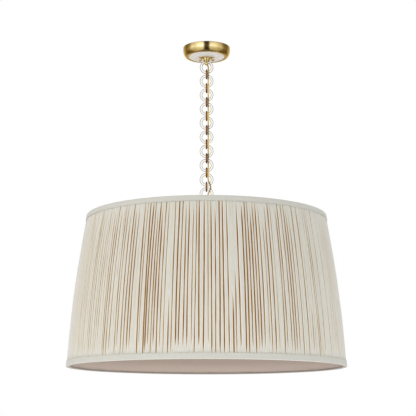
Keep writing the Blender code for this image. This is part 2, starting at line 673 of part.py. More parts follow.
def cord_route():
    """The cord's knots: out of the canopy loop's side, woven down the chain, into the lower loop."""
    clear = COLLAR_RADIUS / 2
    upper = [
        (0, 0, -CORD_TOP),
        (0, 0, FLOOR_LOWER_Z),
        (0, 0, FIRST_RING_Z + SIDE_BORE_START + CORD_RADIUS / 2),
        (0, clear, FIRST_RING_Z + SIDE_BORE_START - clear * math.tan(SIDE_BORE_SLOPE)),
        (0, CORD_BEHIND, FIRST_RING_Z + RING_CENTRE_RADIUS),
        (CORD_SIDE, CORD_SWING + CORD_RADIUS, FIRST_RING_Z + RING_BAR_RADIUS),
    ]
    woven = []
    for junction in range(1, RING_COUNT):
        loose = junction == CORD_LOOSE_JUNCTION
        swing = CORD_LOOSE_SWING if loose else CORD_SWING
        z = ring_centre_z(junction) - RING_PITCH / 2
        woven.append((CORD_LOOSE_SIDE if loose else CORD_SIDE, swing if junction % 2 else -swing, z))
        woven.append((CORD_SIDE, 0, z - RING_PITCH / 2))
    lower = [
        (CORD_SIDE / 2, CORD_SWING + CORD_RADIUS, LAST_RING_Z - RING_HOLE_RADIUS / 2),
        (0, CORD_BEHIND, LAST_RING_Z - RING_CENTRE_RADIUS),
        (0, clear, LAST_RING_Z - SIDE_BORE_START + clear * math.tan(SIDE_BORE_SLOPE)),
        (0, 0, LAST_RING_Z - SIDE_BORE_START - CORD_RADIUS / 2),
        (0, 0, STEM_TOP_Z),
    ]
    return [*upper, *woven, *lower]


def build_cord(ceiling):
    """The cloth-covered supply cord, in one piece from the canopy to the lamp cluster."""
    path = smooth_path(cord_route(), CORD_POINT_SPACING)
    steps = round((STEM_TOP_Z - CLUSTER_TOP_Z) / CORD_STRAIGHT_SPACING)
    for step in range(1, steps + 1):
        path.append(Vector((0, 0, STEM_TOP_Z + (CLUSTER_TOP_Z - STEM_TOP_Z) * step / steps)))
    cord = tube("power_cord", path, CORD_RADIUS, CORD_ROUNDING_STEPS)
    piece("power_cord", cord, CORD_CLOTH, ceiling)


def build_fixture_loop(fixture):
    """The loop that hangs from the last ring: the canopy's loop turned over, on a shorter neck."""
    build_loop("fixture_loop", FIXTURE_NECK, LAST_RING_Z, Quaternion((0, 1, 0), math.pi), fixture)


def build_stem(fixture):
    """The threaded stem, the sleeve round its top and the nut under the spider's hub."""
    profile = tube_profile(STEM_RADIUS, STEM_RADIUS - STEM_WALL, STEM_TOP_Z, STEM_BOTTOM_Z)
    stem = piece("stem", mesh_from("stem", turned(profile, TUBE_SEGMENTS)), BRASS, fixture)
    reach = STEM_RADIUS + CUT_OVERRUN
    for lamp in range(LAMP_COUNT):
        turn = lamp_turn(lamp)
        end = (reach * math.cos(turn), reach * math.sin(turn), LAMP_AXIS_Z)
        wire_hole = bmesh.new()
        rod(wire_hole, STEM_WIRE_HOLE_RADIUS, (0, 0, LAMP_AXIS_Z), end, SCREW_SEGMENTS)
        combine(stem, cutter(f"stem_wire_hole_{lamp + 1}", wire_hole))

    bore = STEM_RADIUS + SEAT_GAP
    sleeve_bottom = HUB_Z + HUB_THICKNESS / 2 + SEAT_GAP
    sleeve = tube_profile(bore + SLEEVE_WALL, bore, LOOP_BASE_Z - SEAT_GAP, sleeve_bottom)
    piece("stem_sleeve", mesh_from("stem_sleeve", turned(sleeve, TUBE_SEGMENTS)), BRASS, fixture)
    nut_bottom = HUB_Z - HUB_THICKNESS / 2 - SEAT_GAP - HUB_NUT_HEIGHT
    nut = hex_nut("hub_nut", HUB_NUT_RADIUS, bore, HUB_NUT_HEIGHT)
    piece("hub_nut", nut, BRASS, fixture, (0, 0, nut_bottom))


def shade_radius(z):
    """The shade's outer radius on the straight line between its two edges."""
    share = (SHADE_TOP_Z - z) / SHADE_HEIGHT
    return SHADE_TOP_RADIUS + (SHADE_BOTTOM_RADIUS - SHADE_TOP_RADIUS) * share


def inset(z, distance):
    """A point of a turned profile that lies a distance inside the shade's outer line."""
    return (shade_radius(z) - distance, z)


def swept(bm, path, radius, sides):
    """Adds a round tube along a path that lies in one upright plane."""
    rows = []
    for index, place in enumerate(path):
        along = path[min(index + 1, len(path) - 1)] - path[max(index - 1, 0)]
        turn = Vector((0, 0, 1)).rotation_difference(along)
        row = []
        for side in range(sides):
            angle = math.tau * side / sides
            row.append(bm.verts.new(place + turn @ Vector((math.cos(angle), math.sin(angle), 0)) * radius))
        rows.append(row)
    for row, following in zip(rows, rows[1:]):
        for side in range(sides):
            after = (side + 1) % sides
            bm.faces.new((row[side], row[after], following[after], following[side]))
    bm.faces.new(rows[0])
    bm.faces.new(rows[-1])


def build_spider(fixture):
    """The hub on the stem, with the arms welded to it that rise to the shade's top wire."""
    bore = STEM_RADIUS + SEAT_GAP
    hub = tube_profile(HUB_RADIUS, bore, HUB_Z + HUB_THICKNESS / 2, HUB_Z - HUB_THICKNESS / 2)
    hub_mesh = mesh_from("shade_spider", turned(hub, CLUSTER_SEGMENTS))
    spider = piece("shade_spider", hub_mesh, WHITE_WIRE, fixture)
    start = (HUB_RADIUS + bore) / 2
    end = shade_radius(TOP_WIRE_Z) - WIRE_INSET - SHADE_WIRE_RADIUS - SEAT_GAP
    knee = end - SPIDER_KNEE
    arms = bmesh.new()
    for arm in range(SPIDER_ARM_COUNT):
        turn = arm_turn(arm)
        out = Vector((math.cos(turn), math.sin(turn), 0))
        path = [out * start + Vector((0, 0, HUB_Z))]
        for step in range(ARM_STEPS + 1):
            share = step / ARM_STEPS
            rise = SPIDER_DROP * (1 - math.cos(math.pi * share)) / 2
            path.append(out * (knee + SPIDER_KNEE * share) + Vector((0, 0, HUB_Z + rise)))
        swept(arms, path, SPIDER_ARM_RADIUS, RING_SIDES)
    combine(spider, cutter("shade_spider_arms", arms), "UNION")


def arm_turn(arm):
    """The angle of a spider arm about the stem. The first one points to the back."""
    return math.pi / 2 + math.tau * arm / SPIDER_ARM_COUNT


def lamp_turn(lamp):
    """The angle of a lamp about the stem, between the spider's arms."""
    return -math.pi / 2 + math.tau * lamp / LAMP_COUNT


def shade_wire(z):
    """A wire ring of the shade's frame, with the facets of the cloth round it."""
    centre = shade_radius(z) - WIRE_INSET
    profile = []
    for side in range(WIRE_SIDES):
        angle = -math.tau * (side + 0.5) / WIRE_SIDES
        profile.append((centre + SHADE_WIRE_RADIUS * math.cos(angle), z + SHADE_WIRE_RADIUS * math.sin(angle)))
    return turned(profile, SHADE_SEGMENTS)


def build_shade_frame(fixture):
    """The frame inside the shade: two wire rings welded to the ribs between them."""
    frame = piece("shade_frame", mesh_from("shade_frame", shade_wire(TOP_WIRE_Z)), WHITE_WIRE, fixture)
    combine(frame, cutter("shade_bottom_wire", shade_wire(BOTTOM_WIRE_Z)), "UNION")
    ribs = bmesh.new()
    for rib in range(SHADE_RIB_COUNT):
        turn = math.tau * rib / SHADE_RIB_COUNT
        ends = []
        for z in (BOTTOM_WIRE_Z, TOP_WIRE_Z):
            radius = shade_radius(z) - WIRE_INSET
            ends.append((radius * math.cos(turn), radius * math.sin(turn), z))
        rod(ribs, SHADE_RIB_RADIUS, *ends, segments=WIRE_SIDES)
    combine(frame, cutter("shade_ribs", ribs), "UNION")


def build_lining(fixture):
    """The smooth lining inside the frame, slotted for the spider's arms."""
    top = SHADE_TOP_Z - TRIM_THICKNESS - SEAT_GAP
    bottom = SHADE_BOTTOM_Z + TRIM_THICKNESS + SEAT_GAP
    inner = LINING_INSET + LINING_THICKNESS
    profile = [inset(top, LINING_INSET), inset(bottom, LINING_INSET), inset(bottom, inner), inset(top, inner)]
    mesh = mesh_from("shade_lining", turned(profile, SHADE_SEGMENTS))
    return piece("shade_lining", mesh, LINING_CLOTH, fixture)


def build_trims(fixture):
    """The plain cloth bands folded over the shade's two edges."""
    made = []
    bands = (
        ("top_trim", SHADE_TOP_Z, -1, TOP_TRIM_WIDTH),
        ("bottom_trim", SHADE_BOTTOM_Z, 1, BOTTOM_TRIM_WIDTH),
    )
    for name, edge, inward, width in bands:
        hem, fold = edge + inward * width, edge + inward * TRIM_THICKNESS
        inner_hem = edge + inward * TRIM_INNER_WIDTH
        profile = [
            inset(edge, 0),
            inset(hem, 0),
            inset(hem, TRIM_THICKNESS),
            inset(fold, TRIM_THICKNESS),
            inset(fold, TRIM_INNER_INSET),
            inset(inner_hem, TRIM_INNER_INSET),
            inset(inner_hem, TRIM_INNER_INSET + TRIM_THICKNESS),
            inset(edge, TRIM_INNER_INSET + TRIM_THICKNESS),
        ]
        made.append(piece(name, mesh_from(name, turned(profile, SHADE_SEGMENTS)), TRIM_CLOTH, fixture))
    return made


def cut_arm_slots(pieces):
    """Cuts the lining and the top trim where the spider's arms pass."""
    wire_radius = shade_radius(TOP_WIRE_Z) - WIRE_INSET
    inner = shade_radius(SHADE_TOP_Z) - TRIM_INNER_INSET - TRIM_THICKNESS - CUT_OVERRUN
    width = 2 * (SPIDER_ARM_RADIUS + ARM_SLOT_MARGIN)
    slots = bmesh.new()
    for arm in range(SPIDER_ARM_COUNT):
        slot = bmesh.new()
        top = TOP_WIRE_Z + SPIDER_ARM_RADIUS + ARM_SLOT_MARGIN
        bottom = TOP_WIRE_Z - SPIDER_DROP / 2
        middle = ((wire_radius + inner) / 2, 0, (top + bottom) / 2)
        box(slot, (wire_radius - inner, width, top - bottom), middle)
        slot.transform(Matrix.Rotation(arm_turn(arm), 4, "Z"))
        mesh = bpy.data.meshes.new("arm_slot")
        slot.to_mesh(mesh)
        slot.free()
        slots.from_mesh(mesh)
        bpy.data.meshes.remove(mesh)
    tool = cutter("spider_arm_slots", slots)
    for obj in pieces:
        combine(obj, tool)


def pleat_columns():
    """Each pleat's crest and trough angles, uneven in width, with a trough on every facet's edge."""
    segment = math.tau / SHADE_SEGMENTS
    columns = []
    for index in range(SHADE_SEGMENTS):
        widths = []
        for pleat in range(PLEATS_PER_SEGMENT):
            count = index * PLEATS_PER_SEGMENT + pleat
            rhythm = math.sin(PLEAT_RHYTHM * count) * math.cos(PLEAT_SLOW_RHYTHM * count)
            widths.append(1 + PLEAT_VARIATION_SHARE * rhythm)
        angle = index * segment
        for width in widths:
            step = segment * width / sum(widths)
            columns.append((angle, False))
            columns.append((angle + step / 2, True))
            angle += step
    return columns


def build_pleated_cover(fixture):
    """The pleated outer cloth: shallow at its two edges, deep halfway down where the pleats stand out."""
    top = SHADE_TOP_Z - TRIM_THICKNESS - SEAT_GAP
    bottom = SHADE_BOTTOM_Z + TRIM_THICKNESS + SEAT_GAP
    middle = (top + bottom) / 2
    facet = math.cos(math.pi / SHADE_SEGMENTS)
    columns = pleat_columns()
    bm = bmesh.new()
    outer_rows, inner_rows = [], []
    for z, band in ((top, TOP_TRIM_WIDTH), (middle, None), (bottom, BOTTOM_TRIM_WIDTH)):
        if band is None:
            crest = shade_radius(z) + SHADE_BULGE - TRIM_THICKNESS
        else:
            under_trim = (shade_radius(z) - TRIM_THICKNESS) * facet - SEAT_GAP
            crest = under_trim - SHADE_BULGE * band / (SHADE_HEIGHT / 2 - band)
        trough = shade_radius(z) - COVER_SPACE + PLEAT_BACK
        row = []
        for angle, is_crest in columns:
            radius = max(crest, trough) if is_crest else trough
            row.append(bm.verts.new((radius * math.cos(angle), radius * math.sin(angle), z)))
        outer_rows.append(row)
        inner = shade_radius(z) - COVER_SPACE
        inner_rows.append([
            bm.verts.new((inner * math.cos(turn), inner * math.sin(turn), z))
            for turn in (math.tau * index / SHADE_SEGMENTS for index in range(SHADE_SEGMENTS))
        ])
    for rows in (outer_rows, inner_rows):
        for upper, lower in zip(rows, rows[1:]):
            for index in range(len(upper)):
                after = (index + 1) % len(upper)
                bm.faces.new((upper[index], upper[after], lower[after], lower[index]))
    per_facet = 2 * PLEATS_PER_SEGMENT
    for level in (0, -1):
        outer, inner = outer_rows[level], inner_rows[level]
        for index in range(SHADE_SEGMENTS):
            first = index * per_facet
            rim = [outer[(first + step) % len(outer)] for step in range(per_facet + 1)]
            bm.faces.new([*rim, inner[(index + 1) % SHADE_SEGMENTS], inner[index]])
    cover = mesh_from("pleated_cover", bm)
    piece("pleated_cover", cover, PLEATED_CLOTH, fixture)


def lamp_frame(lamp):
    """The direction of a lamp, out and down from the cluster, and the turn that lays +Z along it."""
    turn = lamp_turn(lamp)
    level = math.cos(LAMP_TILT)
    out = Vector((level * math.cos(turn), level * math.sin(turn), -math.sin(LAMP_TILT)))
    return out, Vector((0, 0, 1)).rotation_difference(out)


def build_cluster(fixture):
    """The housing that the lamps stand on, its nut, its cover plate and the finial that closes it."""
    bore = STEM_RADIUS + SEAT_GAP
    outside = [
        (0, CLUSTER_TOP_Z),
        (CLUSTER_RADIUS - CLUSTER_ROUND, CLUSTER_TOP_Z),
        (CLUSTER_RADIUS, CLUSTER_TOP_Z - CLUSTER_ROUND),
        (CLUSTER_RADIUS, CLUSTER_BOTTOM_Z),
        (0, CLUSTER_BOTTOM_Z),
    ]
    body = mesh_from("cluster_body", turned(outside, CLUSTER_SEGMENTS, closed=False))
    body = piece("cluster_body", body, BRASS, fixture)
    centre = Vector((0, 0, LAMP_AXIS_Z))
    start = CLUSTER_RADIUS - CLUSTER_ROUND
    bosses, ways = bmesh.new(), bmesh.new()
    for lamp in range(LAMP_COUNT):
        out, _ = lamp_frame(lamp)
        rod(bosses, BOSS_RADIUS, centre + out * start, centre + out * BOSS_REACH, TUBE_SEGMENTS)
        rod(ways, BOSS_BORE_RADIUS, centre + out * start, centre + out * (BOSS_REACH + CUT_OVERRUN))
    combine(body, cutter("cluster_bosses", bosses), "UNION")
    inside = CLUSTER_RADIUS - CLUSTER_WALL
    hollow = [
        (0, CLUSTER_TOP_Z - CLUSTER_WALL),
        (inside - CLUSTER_ROUND, CLUSTER_TOP_Z - CLUSTER_WALL),
        (inside, CLUSTER_TOP_Z - CLUSTER_WALL - CLUSTER_ROUND),
        (inside, CLUSTER_BOTTOM_Z - CUT_OVERRUN),
        (0, CLUSTER_BOTTOM_Z - CUT_OVERRUN),
    ]
    combine(body, cutter("cluster_hollow", turned(hollow, CLUSTER_SEGMENTS, closed=False)))
    combine(body, cutter("cluster_ways", ways))
    stem_hole = bmesh.new()
    end = (0, 0, CLUSTER_TOP_Z + CUT_OVERRUN)
    rod(stem_hole, bore, (0, 0, CLUSTER_TOP_Z - CLUSTER_WALL - CUT_OVERRUN), end, TUBE_SEGMENTS)
    combine(body, cutter("cluster_stem_hole", stem_hole))

    nut = hex_nut("cluster_nut", HUB_NUT_RADIUS, bore, HUB_NUT_HEIGHT)
    piece("cluster_nut", nut, BRASS, fixture, (0, 0, CLUSTER_TOP_Z + SEAT_GAP))
    plate = tube_profile(CLUSTER_RADIUS, bore, COVER_TOP_Z, COVER_TOP_Z - CLUSTER_COVER)
    plate_mesh = mesh_from("cluster_cover", turned(plate, CLUSTER_SEGMENTS))
    piece("cluster_cover", plate_mesh, BRASS, fixture)
    finial = [
        (0, -FINIAL_BORE_DEPTH),
        (bore, -FINIAL_BORE_DEPTH),
        (bore, 0),
        (FINIAL_FACE_RADIUS, 0),
        *arc(0, -FINIAL_RADIUS / 2, FINIAL_RADIUS, FINIAL_RADIUS / 2, 30, -50, 4),
        *arc(0, -FINIAL_HEIGHT + FINIAL_TIP_RADIUS, FINIAL_TIP_RADIUS, FINIAL_TIP_RADIUS, 20, -90, 3),
    ]
    knob = mesh_from("bottom_finial", turned(finial, TUBE_SEGMENTS, closed=False))
    piece("bottom_finial", knob, BRASS, fixture, (0, 0, FINIAL_TOP_Z))


def build_lamps(fixture):
    """The sockets on the cluster's bosses and the frosted bulbs in them."""
    socket_profile = [
        (0, 0),
        (SOCKET_CAP_RADIUS, 0),
        (SOCKET_CAP_RADIUS, SOCKET_SHOULDER),
        (SOCKET_RADIUS, SOCKET_SHOULDER),
        (SOCKET_RADIUS, SOCKET_LENGTH),
        (SOCKET_BORE_RADIUS, SOCKET_LENGTH),
        (SOCKET_BORE_RADIUS, SOCKET_LENGTH - SOCKET_BORE_DEPTH),
        (0, SOCKET_LENGTH - SOCKET_BORE_DEPTH),
    ]
    globe_z = BULB_LENGTH - BULB_GLOBE_RADIUS
    bulb_profile = [
        (0, 0),
        (BULB_BASE_RADIUS / 2, 0),
        (BULB_BASE_RADIUS, BULB_BASE_RADIUS / 2),
        (BULB_BASE_RADIUS, BULB_BASE_LENGTH),
        (BULB_NECK_RADIUS, BULB_BASE_LENGTH + SEAT_GAP),
        *arc(0, globe_z, BULB_GLOBE_RADIUS, BULB_GLOBE_RADIUS, -42, 90, BULB_STEPS),
    ]
    socket_mesh = mesh_from("socket", turned(socket_profile, SOCKET_SEGMENTS, closed=False))
    bulb_mesh = mesh_from("bulb", turned(bulb_profile, SOCKET_SEGMENTS, closed=False))
    centre = Vector((0, 0, LAMP_AXIS_Z))
    for lamp in range(LAMP_COUNT):
        out, turn = lamp_frame(lamp)
        seat = centre + out * (BOSS_REACH + SEAT_GAP)
        piece(f"lamp_socket_{lamp + 1}", socket_mesh, SOCKET_PLASTIC, fixture, seat, turn)
        contact = seat + out * (SOCKET_LENGTH - SOCKET_BORE_DEPTH + SEAT_GAP)
        piece(f"bulb_{lamp + 1}", bulb_mesh, BULB_GLASS, fixture, contact, turn)


def main():
    """Builds the light from the ceiling down."""
    clear_scene()
    ceiling = pivot("ceiling", (0, 0, 0))
    build_crossbar(ceiling)
    build_crossbar_fasteners(ceiling)
    build_canopy(ceiling)
    build_canopy_loop(ceiling)
    build_leads(ceiling)
    fixture = build_chain(ceiling)
    build_cord(ceiling)
    build_fixture_loop(fixture)
    build_stem(fixture)
    build_spider(fixture)
    build_shade_frame(fixture)
    lining = build_lining(fixture)
    top_trim, _ = build_trims(fixture)
    cut_arm_slots([lining, top_trim])
    build_pleated_cover(fixture)
    build_cluster(fixture)
    build_lamps(fixture)


main()
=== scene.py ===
"""Pendant light: a pleated drum shade that hangs from a brass canopy on a chain of glass rings.

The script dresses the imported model. Lengths are in metres, in the frame of that model: the origin is the
centre of the face on the ceiling, +Z points up, and the front of the light faces -Y.
"""

import json
import logging
import math
from dataclasses import dataclass
from enum import Enum
from typing import Optional, Sequence, Union

import bmesh
import bpy
import numpy as np
from mathutils import Matrix, Vector

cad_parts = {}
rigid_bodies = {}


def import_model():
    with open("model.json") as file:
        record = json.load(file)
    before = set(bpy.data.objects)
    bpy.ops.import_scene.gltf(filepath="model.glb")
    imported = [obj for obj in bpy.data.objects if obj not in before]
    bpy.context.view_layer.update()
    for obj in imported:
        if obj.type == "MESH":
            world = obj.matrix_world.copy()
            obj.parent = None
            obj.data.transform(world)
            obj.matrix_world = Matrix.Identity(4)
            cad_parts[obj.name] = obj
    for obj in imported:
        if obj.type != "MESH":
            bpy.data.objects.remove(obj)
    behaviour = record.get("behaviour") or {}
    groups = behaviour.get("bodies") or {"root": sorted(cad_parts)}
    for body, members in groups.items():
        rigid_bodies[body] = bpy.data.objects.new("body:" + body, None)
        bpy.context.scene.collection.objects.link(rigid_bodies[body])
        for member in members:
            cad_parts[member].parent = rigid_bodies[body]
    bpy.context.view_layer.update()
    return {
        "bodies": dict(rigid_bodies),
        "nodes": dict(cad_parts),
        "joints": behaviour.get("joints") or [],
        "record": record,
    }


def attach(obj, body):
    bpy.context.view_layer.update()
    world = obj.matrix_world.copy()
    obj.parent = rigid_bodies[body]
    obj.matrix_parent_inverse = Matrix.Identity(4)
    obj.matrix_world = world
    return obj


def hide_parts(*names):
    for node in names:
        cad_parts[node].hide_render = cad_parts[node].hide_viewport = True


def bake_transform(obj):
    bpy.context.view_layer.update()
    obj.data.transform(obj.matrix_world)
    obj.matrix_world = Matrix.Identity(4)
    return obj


log = logging.getLogger("pendant_light")

Grid = np.ndarray
Material = bpy.types.Material
Mesh = bpy.types.Mesh
Piece = bpy.types.Object
Socket = bpy.types.NodeSocket
Pair = tuple[float, float]
Triple = tuple[float, float, float]
Quad = tuple[float, float, float, float]
Colour = Triple
Profile = list[Pair]
Rows = list[list[Vector]]
Tones = tuple[Pair, ...]

SEAT_GAP = 0.0003
SHARP_ANGLE = math.radians(38)
WELD_DISTANCE = 1e-7
DIM_GREEN_POWER = 1.18
DIM_BLUE_POWER = 1.7
FULL_TURN = 2 * math.pi


class Body(Enum):
    """The rigid bodies at the two ends of the chain."""

    CEILING = "ceiling"
    FIXTURE = "fixture"


class Slot(Enum):
    """Names of the record's material slots, passed to seat, which does not use them."""

    BRASS = "brass"
    DISC = "disc"
    RING_GLASS = "ring_glass"
    PLEATED_CLOTH = "pleated_cloth"
    TRIM_CLOTH = "trim_cloth"
    LINING_CLOTH = "lining_cloth"
    WHITE_WIRE = "white_wire"
    GOLD_CORD = "gold_cord"
    SOCKET_PLASTIC = "socket_plastic"
    BULB_DIFFUSER = "bulb_diffuser"


# Shapes -----------------------------------------------------------------------------------------------


def smooth_step(value: float) -> float:
    """A share from 0 to 1 that starts and ends level."""
    share = min(max(value, 0.0), 1.0)
    return share * share * (3 - 2 * share)


def arc(centre: Pair, size: Pair, start: float, end: float, steps: int) -> Profile:
    """Points on an elliptical arc of a turned profile.

    Args:
        centre: Radius and height of the arc's centre.
        size: Half its width and half its height.
        start: First angle in degrees, from outward towards up.
        end: Last angle in degrees.
        steps: Number of parts.

    Returns:
        The arc's points, both ends among them.
    """
    points = []
    for step in range(steps + 1):
        angle = math.radians(start + (end - start) * step / steps)
        points.append((centre[0] + size[0] * math.cos(angle), centre[1] + size[1] * math.sin(angle)))
    return points


def eased(profile: Profile, radius: float, closed: bool = False, steps: int = 4) -> Profile:
    """Rounds the corners of a turned profile, as a maker breaks a sharp edge.

    Args:
        profile: Radius and height of each corner.
        radius: Size of the rounding, less where a side is short.
        closed: Whether the last corner joins the first.
        steps: Number of parts of each rounding.

    Returns:
        The rounded profile.
    """
    corners = [Vector(point) for point in profile]
    count = len(corners)
    points: Profile = []
    for index, corner in enumerate(corners):
        if not closed and index in (0, count - 1):
            points.append((corner.x, corner.y))
            continue
        before, after = corners[index - 1] - corner, corners[(index + 1) % count] - corner
        reach = min(radius, before.length * 0.45, after.length * 0.45)
        start = corner + before.normalized() * reach
        end = corner + after.normalized() * reach
        for step in range(steps + 1):
            share = step / steps
            point = start * (1 - share) ** 2 + corner * (2 * share * (1 - share)) + end * share**2
            points.append((point.x, point.y))
    return points


def turned(profile: Profile, segments: int) -> Rows:
    """Rows of a body turned about Z, one row for each point of its profile."""
    turns = [FULL_TURN * segment / segments for segment in range(segments)]
    return [[Vector((r * math.cos(turn), r * math.sin(turn), z)) for turn in turns] for r, z in profile]


def smooth_path(knots: Sequence[Sequence[float]], spacing: float) -> list[Vector]:
    """Points about one spacing apart on a smooth curve through the knots."""
    places = [Vector(knot) for knot in knots]
    ends = [2 * places[0] - places[1], *places, 2 * places[-1] - places[-2]]
    points = []
    for before, first, second, after in zip(ends, ends[1:], ends[2:], ends[3:]):
        steps = max(1, round((second - first).length / spacing))
        for step in range(steps):
            t = step / steps
            pull = (second - before) * t + (2 * before - 5 * first + 4 * second - after) * t**2
            pull += (3 * first - 3 * second + after - before) * t**3
            points.append(first + pull / 2)
    points.append(places[-1])
    return points


def path_frames(path: Sequence[Vector]) -> list[tuple[Vector, Vector]]:
    """Two cross directions at each point of a path, turned along it without twist."""
    count = len(path)
    along = [(path[min(i + 1, count - 1)] - path[max(i - 1, 0)]).normalized() for i in range(count)]
    first = Vector((1, 0, 0)) if abs(along[0].x) < 0.9 else Vector((0, 1, 0))
    side = (first - along[0] * first.dot(along[0])).normalized()
    frames = []
    for index, direction in enumerate(along):
        if index:
            side = along[index - 1].rotation_difference(direction) @ side
            side = (side - direction * side.dot(direction)).normalized()
        frames.append((side, direction.cross(side)))
    return frames


def swept(path: Sequence[Vector], radius: float, sides: int) -> Rows:
    """Rows of a round tube along a path."""
    rows = []
    for place, (side, other) in zip(path, path_frames(path)):
        turns = [FULL_TURN * step / sides for step in range(sides)]
        rows.append([place + (side * math.cos(turn) + other * math.sin(turn)) * radius for turn in turns])
    return rows


def ring_rows(centre_radius: float, bar_radius: float, segments: int, sides: int) -> Rows:
    """Rows of a round ring in the XZ plane, about the origin."""
    rows = []
    for segment in range(segments):
        angle = FULL_TURN * segment / segments
        row = []
        for side in range(sides):
            turn = FULL_TURN * side / sides
            reach = centre_radius + bar_radius * math.cos(turn)
            aside = bar_radius * math.sin(turn)
            row.append(Vector((reach * math.cos(angle), aside, reach * math.sin(angle))))
        rows.append(row)
    return rows


def grow(bm: bmesh.types.BMesh, rows: Rows, looped: bool = False, capped: bool = False) -> None:
    """Adds the faces between rows of equal length, each row closed on itself.

    Args:
        bm: The body that they are added to.
        rows: Points of each row.
        looped: Whether the last row joins the first.
        capped: Whether the two end rows are closed with a face.
    """
    verts = [[bm.verts.new(point) for point in row] for row in rows]
    pairs = list(zip(verts, verts[1:])) + ([(verts[-1], verts[0])] if looped else [])
    for row, following in pairs:
        for side, vert in enumerate(row):
            after = (side + 1) % len(row)
            bm.faces.new((vert, row[after], following[after], following[side]))
    if capped:
        bm.faces.new(verts[0])
        bm.faces.new(verts[-1])


def smoothed(mesh: Mesh) -> Mesh:
    """The same mesh, shaded smooth but for its sharp edges."""
    mesh.shade_smooth()
    mesh.set_sharp_from_angle(angle=SHARP_ANGLE)
    return mesh


def finished(bm: bmesh.types.BMesh, name: str) -> Mesh:
    """The smooth-shaded mesh of a body."""
    mesh = bpy.data.meshes.new(name)
    bm.to_mesh(mesh)
    bm.free()
    return smoothed(mesh)


def add_mesh(bm: bmesh.types.BMesh, mesh: Mesh) -> None:
    """Adds a mesh to a body and removes the mesh."""
    bm.from_mesh(mesh)
    bpy.data.meshes.remove(mesh)


def rows_mesh(name: str, rows: Rows, looped: bool = False, capped: bool = False) -> Mesh:
    """A band, tube or turned body from rows as in grow, with its faces pointing out."""
    bm = bmesh.new()
    grow(bm, rows, looped, capped)
    bmesh.ops.remove_doubles(bm, verts=bm.verts[:], dist=WELD_DISTANCE)
    bmesh.ops.recalc_face_normals(bm, faces=bm.faces[:])
    return finished(bm, name)


def placed(mesh: Mesh, *finishes: Material) -> Piece:
    """An object for the mesh, of the same name, linked to the scene, with its finishes."""
    obj = bpy.data.objects.new(mesh.name, mesh)
    bpy.context.scene.collection.objects.link(obj)
    for finish in finishes:
        mesh.materials.append(finish)
    return obj


def cut(obj: Piece, tools: Sequence[Piece]) -> None:
    """Takes the tool bodies out of an object and removes them.

    Args:
        obj: The piece that is cut.
        tools: Closed bodies, each taken out in turn.
    """
    for tool in tools:
        step = obj.modifiers.new(tool.name, "BOOLEAN")
        step.object = tool
        step.operation = "DIFFERENCE"
        step.solver = "EXACT"
    graph = bpy.context.evaluated_depsgraph_get()
    mesh = bpy.data.meshes.new_from_object(obj.evaluated_get(graph))
    obj.modifiers.clear()
    obj.data = mesh
    for tool in tools:
        bpy.data.objects.remove(tool, do_unlink=True)
    smoothed(mesh)


def seat(obj: Piece, body: Union[Body, str], slot: Slot, *nodes: str) -> Piece:
    """Rides a finished piece on its body, and lets it stand for nodes of the model.

    Args:
        obj: The piece, in its place.
        body: The body that carries it.
        slot: Not used.
        nodes: The nodes that it replaces.

    Returns:
        The same piece.
    """
    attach(obj, body.value if isinstance(body, Body) else body)
    if nodes:
        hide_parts(*nodes)
    return obj


def dress(frame: dict, nodes: Sequence[str], material: Material) -> None:
    """Gives nodes of the model that stay in view a better finish.

    Args:
        nodes: Names of the nodes.
        material: Their finish.
    """
    for name in nodes:
        for place in frame["nodes"][name].material_slots:
            place.material = material


# Finishes ---------------------------------------------------------------------------------------------
# A pair for a noise is its scale and detail, and a pair for a span is where it starts and ends.


